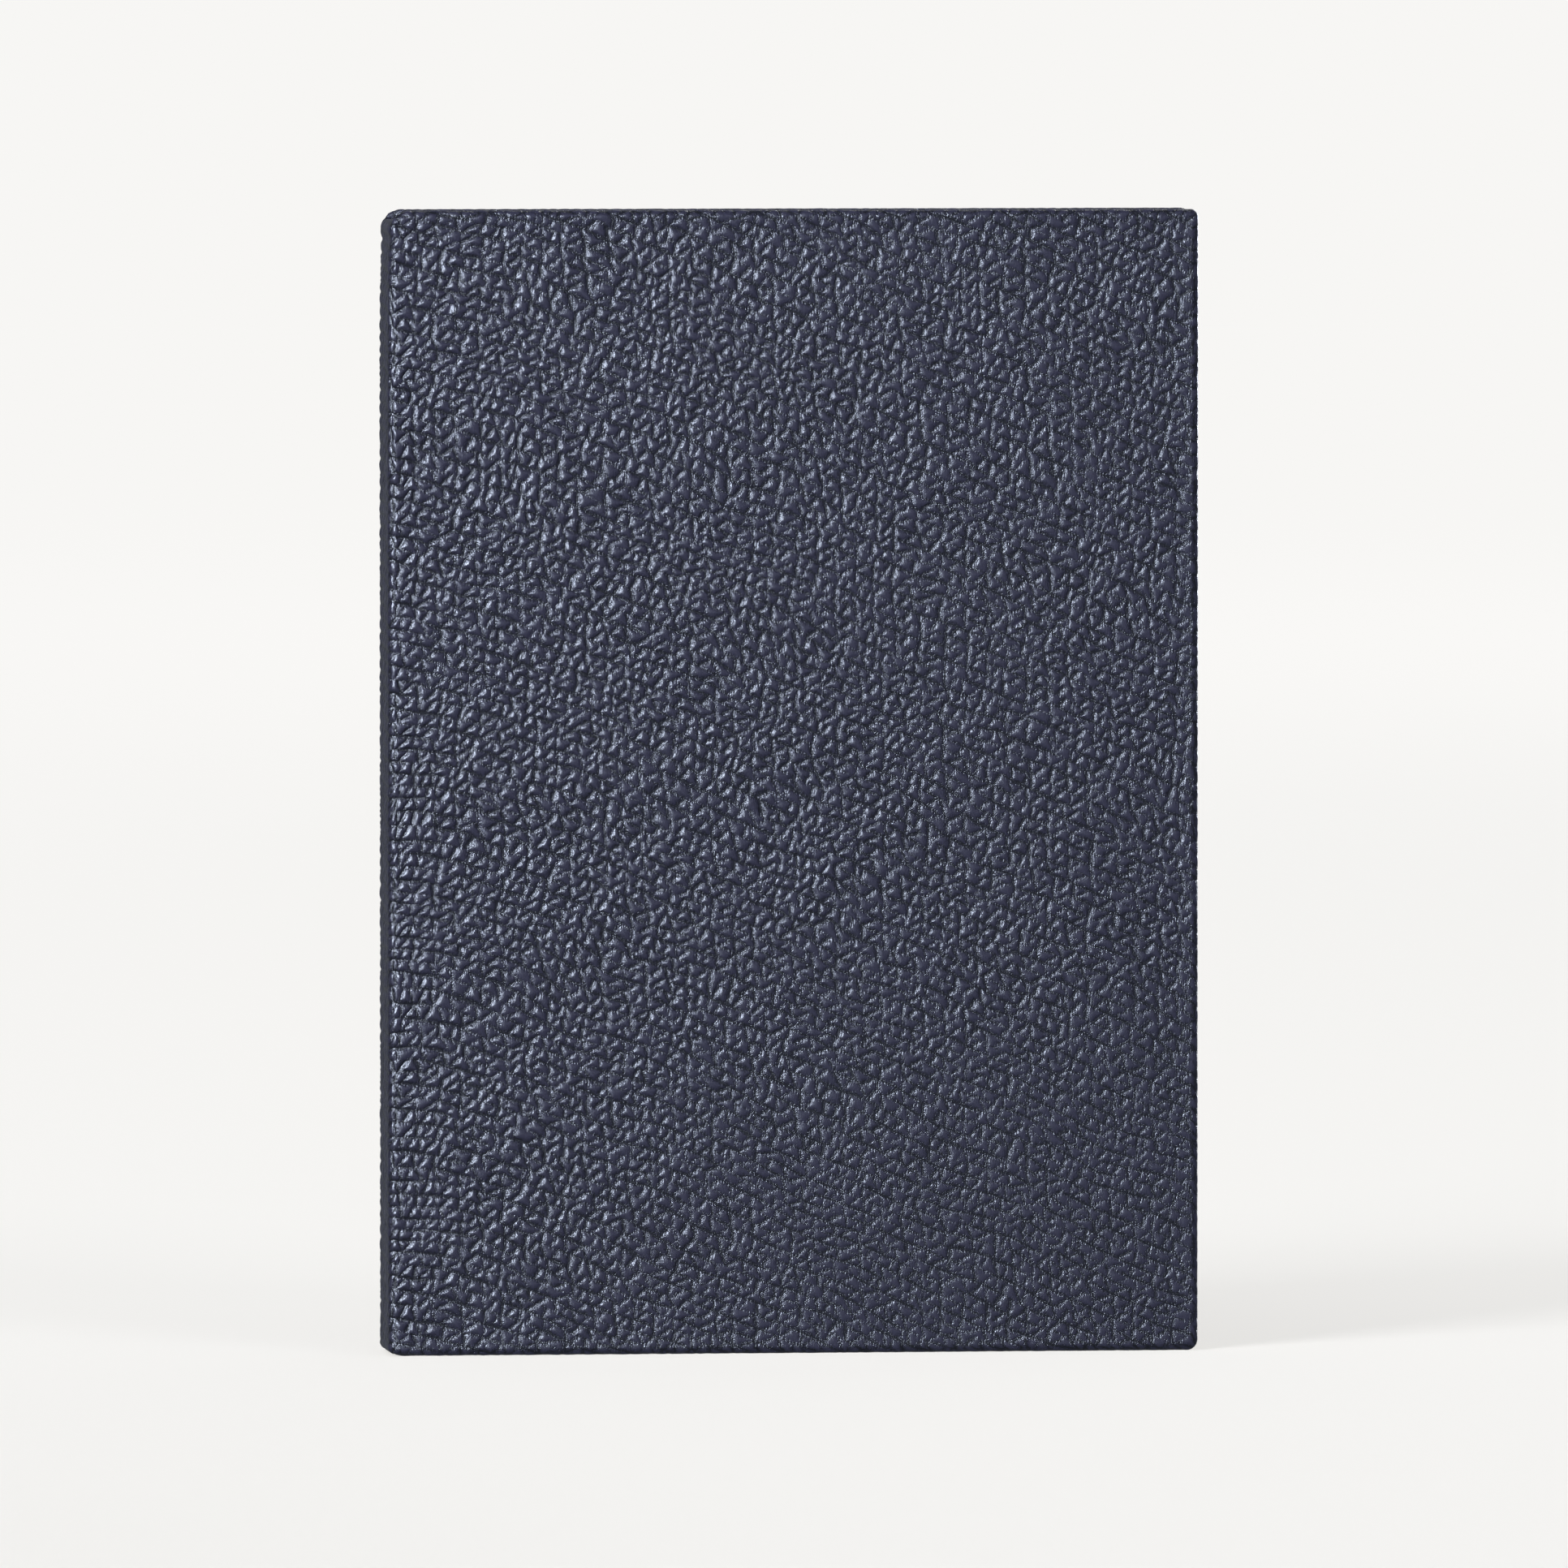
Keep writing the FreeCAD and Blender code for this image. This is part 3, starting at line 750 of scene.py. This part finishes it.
leather_pieces = add_leather()
page_pieces = [folded_section(number) for number in range(1, 9)]
endpapers = []
for word, side in (("front", -1), ("back", 1)):
    endpapers += [flyleaf(word, side), gutter_paper(word, side), joint_paper(word, side)]
band_pieces = [worked_band("headband"), worked_band("tailband")]


# ---------------------------------------------------------------- materials


def new_material(name):
    material = bpy.data.materials.new(name)
    material.use_nodes = True
    tree = material.node_tree
    return material, tree, tree.nodes["Principled BSDF"]


def node(tree, kind, inputs=None, **values):
    """A shader node with its settings and input values; an input given a socket is linked to it."""
    made = tree.nodes.new(kind)
    for key, value in values.items():
        setattr(made, key, value)
    for key, value in (inputs or {}).items():
        if isinstance(value, bpy.types.NodeSocket):
            tree.links.new(value, made.inputs[key])
        else:
            made.inputs[key].default_value = value
    return made


def mixed(tree, factor, first, second):
    """Colour between first and second; each may be a socket or three numbers."""
    first, second = ((*c, 1) if isinstance(c, tuple) else c for c in (first, second))
    return node(tree, "ShaderNodeMix", {0: factor, 6: first, 7: second}, data_type="RGBA").outputs[2]


def maths(tree, operation, first, second=0.0, third=0.0):
    return node(tree, "ShaderNodeMath", {0: first, 1: second, 2: third}, operation=operation).outputs[0]


def vectors(tree, operation, first, second, output="Vector"):
    """A sum on vectors; when the first is scaled, the second is the factor."""
    inputs = {0: first, "Scale" if operation == "SCALE" else 1: second}
    return node(tree, "ShaderNodeVectorMath", inputs, operation=operation).outputs[output]


def split(tree, vector):
    """The three parts of a vector."""
    return node(tree, "ShaderNodeSeparateXYZ", {"Vector": vector}).outputs


def place_at(tree, scale=(1, 1, 1), turn=(0, 0, 0)):
    """The object's own coordinates in metres, turned and scaled."""
    place = node(tree, "ShaderNodeTexCoord").outputs["Object"]
    return node(
        tree, "ShaderNodeMapping", {"Vector": place, "Scale": scale, "Rotation": turn}
    ).outputs["Vector"]


def ramp(tree, source, stops):
    """A colour ramp with its (position, colour) stops."""
    made = node(tree, "ShaderNodeValToRGB", {"Fac": source})
    elements = made.color_ramp.elements
    while len(elements) < len(stops):
        elements.new(0.5)
    for element, (position, colour) in zip(elements, stops):
        element.position = position
        element.color = (*colour, 1)
    return made.outputs["Color"]


def cloud(tree, scale, detail, vector, output="Fac"):
    """Smooth noise from 0 to 1."""
    inputs = {"Scale": scale, "Detail": detail, "Vector": vector}
    return node(tree, "ShaderNodeTexNoise", inputs).outputs[output]


def cell_edges(tree, scale, vector):
    """Distance to the nearest edge between small random cells."""
    return node(
        tree, "ShaderNodeTexVoronoi", {"Scale": scale, "Vector": vector}, feature="DISTANCE_TO_EDGE"
    ).outputs["Distance"]


def eased(tree, value, low, high):
    """0 where value is low to 1 where it is high, easing in and out."""
    return node(
        tree, "ShaderNodeMapRange", {"Value": value, "From Min": low, "From Max": high},
        interpolation_type="SMOOTHSTEP",
    ).outputs["Result"]


def dress(tree, shader, colour, normal, roughness, specular):
    """Link a colour and a normal to a shader, and set what is the same all over the surface."""
    tree.links.new(colour, shader.inputs["Base Color"])
    tree.links.new(normal, shader.inputs["Normal"])
    shader.inputs["Roughness"].default_value = roughness
    shader.inputs["Specular IOR Level"].default_value = specular


def bump(tree, height, distance, before=None, strength=1.0):
    """Normals of a height texture; strength may be a socket."""
    inputs = {"Height": height, "Distance": distance, "Strength": strength}
    if before is not None:
        inputs["Normal"] = before
    return node(tree, "ShaderNodeBump", inputs).outputs["Normal"]


# the leather's own navy is the top colour; the two darker colours, used towards the creases, are painted
# shade
LEATHER_CREASE_SHADE = (0.0020, 0.0020, 0.0080)
LEATHER_HALF_SHADE = (0.0150, 0.0146, 0.0350)
LEATHER_TOP = (0.0275, 0.0270, 0.0570)
LEATHER_GLOSS = (0.90, 0.95, 1.0)
LEATHER_ROUGHNESS = 0.34
STREAK_TURN = math.radians(-24)
CREASE_SHARPEN = 3.4
WOBBLE, WOBBLE_SCALE = 0.0006, 700.0
WRINKLE_SCALE, PUCKER_SCALE, PORE_SCALE = 760.0, 2300.0, 5200.0


def crease_nodes(tree):
    """The same nearness to the creases as creases() gives for the mesh, but worked out at every point."""
    calc = partial(maths, tree)
    x, y, strength = split(tree, node(tree, "ShaderNodeAttribute", attribute_name="relief").outputs["Vector"])

    def fall(away, reach):
        return calc("EXPONENT", calc("MULTIPLY", away, -reach / CREASE_REACH))

    def part(value, gain):
        return calc("FRACT", calc("MULTIPLY", value, gain))

    rise = calc("DIVIDE", y, ROW_PITCH)
    up = calc("FRACT", rise)
    row = calc("FLOOR", rise)
    near = calc("MULTIPLY", strength, fall(calc("MINIMUM", up, calc("SUBTRACT", 1.0, up)), ROW_PITCH))
    turn = calc("MULTIPLY", row, HASH_ROW)
    shift = part(calc("SINE", turn), HASH_STRENGTH)
    place = calc("MULTIPLY_ADD", x, 1 / CELL_PITCH, shift)
    middle = calc("FLOOR", calc("ADD", place, 0.5))
    across = calc("SUBTRACT", up, 0.5)
    for step in (-1, 0, 1):
        cell = calc("ADD", middle, float(step))
        wave = calc("SINE", calc("MULTIPLY_ADD", cell, HASH_CELL, turn))
        swing = calc("MULTIPLY_ADD", part(cell, 0.5), 4 * CELL_SWING, -CELL_SWING)
        base = calc("ADD", swing, CELL_LEAN - 0.5 * CELL_SPREAD)
        lean = calc("MULTIPLY_ADD", part(wave, HASH_LEAN), CELL_SPREAD, base)
        jitter = calc("MULTIPLY_ADD", part(wave, HASH_PLACE), CELL_JITTER, -0.5 * CELL_JITTER)
        centre = calc("MULTIPLY_ADD", lean, across, calc("ADD", cell, jitter))
        away = calc("ABSOLUTE", calc("SUBTRACT", place, centre))
        firm = calc("MULTIPLY_ADD", part(wave, HASH_STRENGTH), 1 - FIRM_LEAST, FIRM_LEAST)
        near = calc("MAXIMUM", near, calc("MULTIPLY", firm, fall(away, CELL_SQUEEZE * CELL_PITCH)))
    return near


def leather_material():
    """Navy leather with painted shade in its creases, fine crossing wrinkles beside them also darkened with
    painted shade, and pores all over.
    """
    material, tree, shader = new_material("navy_pebble_leather")
    calc = partial(maths, tree)
    near = crease_nodes(tree)
    # painted shade: the colour darkens from the pebbles' tops into the creases
    colour = ramp(tree, near, [(0.14, LEATHER_TOP), (0.44, LEATHER_HALF_SHADE), (0.70, LEATHER_CREASE_SHADE)])
    thin = calc("POWER", near, CREASE_SHARPEN)
    low = calc("MULTIPLY", eased(tree, near, 0.10, 0.42), eased(tree, near, 0.92, 0.58))

    wobble = cloud(tree, WOBBLE_SCALE, 2.0, place_at(tree), "Color")
    bent = vectors(tree, "ADD", place_at(tree), vectors(tree, "MULTIPLY", wobble, (WOBBLE, WOBBLE, WOBBLE)))
    # painted shade along fine wrinkle lines, strongest beside the creases
    line = eased(tree, cell_edges(tree, WRINKLE_SCALE, bent), 0.0, 0.09)
    darker = calc("MULTIPLY_ADD", low, 0.65, 0.10)
    shade = calc("MULTIPLY_ADD", calc("SUBTRACT", line, 1.0), darker, 1.0)

    cells = cell_edges(tree, PUCKER_SCALE, bent)
    streaks = cloud(tree, 1.0, 2.0, place_at(tree, (2900, 2900, 800), (0, STREAK_TURN, 0)))
    pores = cloud(tree, PORE_SCALE, 2.0, place_at(tree))
    groove = bump(tree, calc("SUBTRACT", 1.0, thin), 0.00005, strength=0.8)
    wrinkled = bump(tree, line, 0.00003, groove, strength=calc("MULTIPLY_ADD", low, 0.80, 0.12))
    puckered = bump(tree, cells, 0.00014, wrinkled, strength=calc("MULTIPLY_ADD", low, 0.30, 0.16))
    streaked = bump(tree, streaks, 0.00020, puckered, strength=calc("MULTIPLY_ADD", low, 0.68, 0.17))
    pored = bump(tree, pores, 0.00003, streaked, strength=0.7)
    dress(tree, shader, vectors(tree, "SCALE", colour, shade), pored, LEATHER_ROUGHNESS, 0.55)
    shader.inputs["Specular Tint"].default_value = (*LEATHER_GLOSS, 1)
    return material


def fibres(tree, scale, spread, base):
    """A base colour with a soft fibrous variation of plus or minus spread."""
    lumps = cloud(tree, scale, 6.0, place_at(tree))
    darker = tuple(c * (1 - spread) for c in base)
    lighter = tuple(min(1.0, c * (1 + spread)) for c in base)
    return lumps, ramp(tree, lumps, [(0.35, darker), (0.65, lighter)])


def wave_of(tree, spacing, direction):
    """Fine parallel ribs, spacing in metres, along one axis of the object's coordinates."""
    return node(
        tree, "ShaderNodeTexWave",
        {"Scale": 2 * math.pi / (20 * spacing), "Distortion": 0.35, "Detail": 1.0,
         "Detail Scale": 2.0, "Vector": place_at(tree)},
        wave_type="BANDS", bands_direction=direction, wave_profile="SIN",
    ).outputs["Fac"]


def endpaper_material():
    """Cream laid paper: fine ribs with wider chain lines across them."""
    material, tree, shader = new_material("cream_laid_endpaper")
    lumps, colour = fibres(tree, 260.0, 0.035, (0.74, 0.71, 0.62))
    laid = wave_of(tree, 0.0009, "Z")
    chain = wave_of(tree, 0.024, "X")
    chain_line = maths(tree, "GREATER_THAN", chain, 0.993)
    shaded = mixed(tree, maths(tree, "MULTIPLY", laid, 0.10), colour, (0.64, 0.60, 0.51))
    shaded = mixed(tree, maths(tree, "MULTIPLY", chain_line, 0.18), shaded, (0.60, 0.56, 0.47))
    ribs = bump(tree, laid, 0.00003, strength=0.5)
    dress(tree, shader, shaded, bump(tree, lumps, 0.00004, ribs, strength=0.4), 0.82, 0.25)
    return material


RULE_PITCH = 0.0075
RULE_WIDE = 0.00016
HEAD_MARGIN = 0.196
TAIL_MARGIN = 0.012
COLUMN_LINES = (-0.062, -0.045, -0.026, -0.007, 0.006, 0.019, 0.032, 0.045, 0.068)
RULE_COLOUR = (0.46, 0.53, 0.62)
PAGE_COLOUR = (0.86, 0.84, 0.78)


def page_material():
    """Writing paper with a plain printed table: rows, column lines and a double line under its heading."""
    material, tree, shader = new_material("ruled_writing_paper")
    calc = partial(maths, tree)
    lumps, colour = fibres(tree, 420.0, 0.02, PAGE_COLOUR)
    x, _, z = split(tree, place_at(tree))

    def between(value, low, high):
        above = calc("GREATER_THAN", value, low)
        return calc("MULTIPLY", above, calc("LESS_THAN", value, high))

    within_z = between(z, TAIL_MARGIN, HEAD_MARGIN)
    within_x = between(x, COLUMN_LINES[0] - RULE_WIDE, COLUMN_LINES[-1] + RULE_WIDE)
    row = calc("PINGPONG", z, RULE_PITCH / 2)
    lines = calc("MULTIPLY", calc("LESS_THAN", row, RULE_WIDE / 2), within_x)
    for height in (HEAD_MARGIN - 0.0165, HEAD_MARGIN - 0.0005, TAIL_MARGIN + 0.0006):
        away = calc("ABSOLUTE", calc("SUBTRACT", z, height))
        rule = calc("MULTIPLY", calc("LESS_THAN", away, RULE_WIDE), within_x)
        lines = calc("MAXIMUM", lines, rule)
    for line in COLUMN_LINES:
        away = calc("ABSOLUTE", calc("SUBTRACT", x, line))
        lines = calc("MAXIMUM", lines, calc("LESS_THAN", away, RULE_WIDE / 2))
    lines = calc("MULTIPLY", lines, within_z)
    inked = mixed(tree, calc("MULTIPLY", lines, 0.75), colour, RULE_COLOUR)

    # cut edges are a little darker, with uneven streaks from leaf to leaf
    leaf = cloud(tree, 1.0, 2.0, place_at(tree, (60, 4200, 25)))
    facing = split(tree, node(tree, "ShaderNodeTexCoord").outputs["Normal"])[1]
    edge = calc("LESS_THAN", calc("ABSOLUTE", facing), 0.5)
    streak = ramp(tree, leaf, [(0.35, (0.55, 0.53, 0.47)), (0.62, (0.84, 0.82, 0.755))])
    colour = mixed(tree, edge, inked, streak)
    dress(tree, shader, colour, bump(tree, lumps, 0.00003, strength=0.4), 0.85, 0.25)
    return material


def card_material(name, base, scale, spread):
    """Pressed card with visible fibres and flecks."""
    material, tree, shader = new_material(name)
    lumps, colour = fibres(tree, scale, spread, base)
    fleck = cloud(tree, 1.0, 3.0, place_at(tree, (900, 900, 5200)))
    flecked = maths(tree, "MULTIPLY", maths(tree, "GREATER_THAN", fleck, 0.62), 0.35)
    colour = mixed(tree, flecked, colour, tuple(c * 0.55 for c in base))
    dress(tree, shader, colour, bump(tree, lumps, 0.00008, strength=0.6), 0.9, 0.2)
    return material


def woven_material(name, base, pitch, gap_shade_colour, gap_level):
    """Crossing threads along Y and Z, with painted shade in the gaps between them."""
    material, tree, shader = new_material(name)
    warp = wave_of(tree, pitch, "Z")
    weft = wave_of(tree, pitch, "Y")
    both = maths(tree, "MAXIMUM", warp, weft)
    _, colour = fibres(tree, 900.0, 0.06, base)
    # painted shade in the gaps between the threads
    gap = ramp(tree, both, [(gap_level, (1, 1, 1)), (min(1.0, gap_level + 0.15), (0, 0, 0))])
    woven = mixed(tree, gap, colour, gap_shade_colour)
    dress(tree, shader, woven, bump(tree, both, pitch * 0.3, strength=0.9), 0.85, 0.25)
    return material


def thread_material():
    """Waxed linen thread with a fine twist."""
    material, tree, shader = new_material("waxed_linen_thread")
    twist = node(
        tree, "ShaderNodeTexWave",
        {"Scale": 900.0, "Distortion": 0.6, "Vector": place_at(tree, (1, 1, 1), (0.6, 0.0, 0.0))},
        wave_type="BANDS", bands_direction="DIAGONAL",
    ).outputs["Fac"]
    colour = ramp(tree, twist, [(0.1, (0.62, 0.58, 0.48)), (0.7, (0.88, 0.85, 0.77))])
    dress(tree, shader, colour, bump(tree, twist, 0.00005), 0.5, 0.5)
    return material


def band_material():
    """Navy and cream silk stripes; the stripe is stored in the piece's relief value."""
    material, tree, shader = new_material("worked_band_silk")
    stripe = node(tree, "ShaderNodeAttribute", attribute_name="relief").outputs["Fac"]
    cross = maths(tree, "GREATER_THAN", stripe, 0.5)
    strand = cloud(tree, 1.0, 2.0, place_at(tree, (700, 9000, 700)))
    navy = ramp(tree, strand, [(0.3, (0.018, 0.022, 0.060)), (0.7, (0.040, 0.046, 0.110))])
    cream = ramp(tree, strand, [(0.3, (0.62, 0.57, 0.45)), (0.7, (0.82, 0.78, 0.66))])
    colour = mixed(tree, cross, navy, cream)
    dress(tree, shader, colour, bump(tree, strand, 0.00004, strength=0.7), 0.45, 0.5)
    shader.inputs["Sheen Weight"].default_value = 0.25
    return material


def give(obj, material):
    obj.data.materials.clear()
    obj.data.materials.append(material)


leather = leather_material()
endpaper = endpaper_material()
paper = page_material()
board = card_material("grey_millboard", (0.30, 0.27, 0.23), 700.0, 0.16)
card = card_material("brown_kraft_card", (0.42, 0.31, 0.20), 600.0, 0.12)
# the fourth value of each weave is the colour of the painted shade in its gaps
mull = woven_material("cotton_mull", (0.72, 0.69, 0.60), 0.0009, (0.42, 0.36, 0.27), 0.55)
tape = woven_material("linen_tape", (0.80, 0.77, 0.68), 0.00045, (0.55, 0.51, 0.42), 0.25)
band_silk = band_material()
for pieces, material in (
    (leather_pieces, leather), (page_pieces, paper), (endpapers, endpaper), (band_pieces, band_silk)
):
    for piece in pieces:
        give(piece, material)
KEPT_NODES = {
    "front_board": board, "back_board": board,
    "front_infill": card, "back_infill": card, "spine_stiffener": card, "hollow_tube": card,
    "front_pastedown": endpaper, "back_pastedown": endpaper,
    "mull": mull,
    "sewing_tape_tail": tape, "sewing_tape_middle": tape, "sewing_tape_head": tape,
    "sewing_thread": thread_material(),
}
for name, material in KEPT_NODES.items():
    give(frame["nodes"][name], material)


# ---------------------------------------------------------------- floor, light and camera

BACKDROP = (0.930, 0.922, 0.905)
FLOOR_BASE = 0.40
WORLD_STRENGTH = 0.25
WORLD_COLOUR = (0.85, 0.91, 1.00)
MIDDLE = (0.0, 0.0, 0.11)
WHITE = (1.0, 1.0, 1.0)
COOL = (0.90, 0.96, 1.10)
# name, place, size, power, colour, shadow, gloss, diffuse: every light points at MIDDLE, and the sheen lights
# make highlights only, so that leather can shine beside paper that isn't overlit
LIGHTS = [
    ("key", (-0.75, -0.84, 0.64), (0.45, 0.54), 12.5, WHITE, True, False, True),
    ("fill", (2.60, -4.20, 2.00), (2.0, 2.0), 75.0, WHITE, True, False, True),
    ("sheen", (-1.04, -1.50, 0.60), (0.44, 0.57), 80.0, COOL, True, True, False),
    ("back_sheen", (1.20, 1.60, 0.45), (0.44, 0.57), 32.0, COOL, True, True, False),
    ("back_soft", (1.90, 2.70, 2.30), (1.8, 1.8), 70.0, WHITE, False, True, True),
]


def lit_by(tree, place, power, colour):
    """What one area light adds to the open floor, as a colour.

    It is the floor's base x power x the cosines at both ends / (pi x distance) squared."""
    aim = np.array(MIDDLE) - np.array(place)
    aim = aim / np.linalg.norm(aim)
    at = node(tree, "ShaderNodeNewGeometry").outputs["Position"]
    away = vectors(tree, "SUBTRACT", at, place)
    square = vectors(tree, "DOT_PRODUCT", away, away, "Value")
    ahead = maths(tree, "MAXIMUM", vectors(tree, "DOT_PRODUCT", away, tuple(aim), "Value"), 0.0)
    share = maths(tree, "DIVIDE", ahead, maths(tree, "MULTIPLY", square, square))
    level = maths(tree, "MULTIPLY", share, FLOOR_BASE * power * place[2] / math.pi ** 2)
    return vectors(tree, "SCALE", colour, level)


def studio_surface(name, verts, faces, base):
    """A matt glowing surface round the object that neither lights it nor shows in its reflections."""
    mesh = bpy.data.meshes.new(name)
    mesh.from_pydata(verts, [], faces)
    surface = placed(name, mesh)
    material, tree, shader = new_material(f"pale_{name}")
    shader.inputs["Base Color"].default_value = (base, base, base, 1)
    shader.inputs["Roughness"].default_value = 1.0
    shader.inputs["Specular IOR Level"].default_value = 0.0
    shader.inputs["Emission Color"].default_value = (*BACKDROP, 1)
    shader.inputs["Emission Strength"].default_value = 1.0
    mesh.materials.append(material)
    surface.visible_diffuse = False
    surface.visible_glossy = False
    return surface, tree, shader


FLOOR_HALF = 60.0


def add_floor():
    """A pale floor whose glow gives way to the lights where they reach it, so that only shadows show."""
    corners = [(x * FLOOR_HALF, y * FLOOR_HALF, 0) for x, y in ((-1, -1), (1, -1), (1, 1), (-1, 1))]
    floor, tree, shader = studio_surface("floor", corners, [(0, 1, 2, 3)], FLOOR_BASE)
    glow = tuple(c - FLOOR_BASE * WORLD_STRENGTH * w for c, w in zip(BACKDROP, WORLD_COLOUR))
    for _, place, _, power, colour, _, _, diffuse in LIGHTS:
        if diffuse:
            glow = vectors(tree, "SUBTRACT", glow, lit_by(tree, place, power, colour))
    tree.links.new(glow, shader.inputs["Emission Color"])


WALL_RADIUS = 8.5
WALL_FOOT, WALL_TOP = -0.5, 12.0
WALL_SIDES = 96


def add_backdrop():
    """A round wall as pale as the floor, which casts no shadow, for views that reach the horizon."""
    turns = [2 * math.pi * i / WALL_SIDES for i in range(WALL_SIDES)]
    ring = [(WALL_RADIUS * math.cos(t), WALL_RADIUS * math.sin(t)) for t in turns]
    verts = [(x, y, z) for z in (WALL_FOOT, WALL_TOP) for x, y in ring]
    after = [(i + 1) % WALL_SIDES for i in range(WALL_SIDES)]
    faces = [(i, n, WALL_SIDES + n, WALL_SIDES + i) for i, n in enumerate(after)]
    wall, _, _ = studio_surface("backdrop", verts, faces, 0.0)
    wall.visible_shadow = False


def add_area(name, place, size, power, colour, shadow, gloss, diffuse):
    light = bpy.data.lights.new(name, "AREA")
    light.shape = "RECTANGLE"
    light.size, light.size_y = size
    light.energy = power
    light.color = colour
    light.use_shadow = shadow
    obj = placed(name, light)
    obj.location = place
    obj.rotation_euler = (Vector(MIDDLE) - Vector(place)).to_track_quat("-Z", "Y").to_euler()
    obj.visible_camera = False
    obj.visible_glossy = gloss
    obj.visible_diffuse = diffuse


CAMERA_TURN = math.radians(-6.5)
CAMERA_RISE = math.radians(2.5)
CAMERA_AWAY = 4.146
VIEW_WIDTH = 0.2965
VIEW_MIDDLE = (-0.00086, 0.0, 0.5 * HEIGHT * MM - 0.00072)
SENSOR = 36


def add_camera():
    """A camera far enough away for a nearly flat view, VIEW_WIDTH wide, in metres, at the book."""
    camera = bpy.data.cameras.new("camera")
    obj = placed("camera", camera)
    level = math.cos(CAMERA_RISE)
    back = Vector((math.sin(CAMERA_TURN) * level, -math.cos(CAMERA_TURN) * level, math.sin(CAMERA_RISE)))
    obj.location = Vector(VIEW_MIDDLE) + back * CAMERA_AWAY
    obj.rotation_euler = (-back).to_track_quat("-Z", "Y").to_euler()
    camera.sensor_width = SENSOR
    camera.lens = SENSOR * CAMERA_AWAY / VIEW_WIDTH
    bpy.context.scene.camera = obj


add_floor()
add_backdrop()
world = bpy.data.worlds.new("studio")
world.use_nodes = True
background = world.node_tree.nodes["Background"]
background.inputs["Color"].default_value = (*WORLD_COLOUR, 1)
background.inputs["Strength"].default_value = WORLD_STRENGTH
bpy.context.scene.world = world
for light in LIGHTS:
    add_area(*light)
add_camera()
bpy.context.scene.view_settings.view_transform = "Standard"
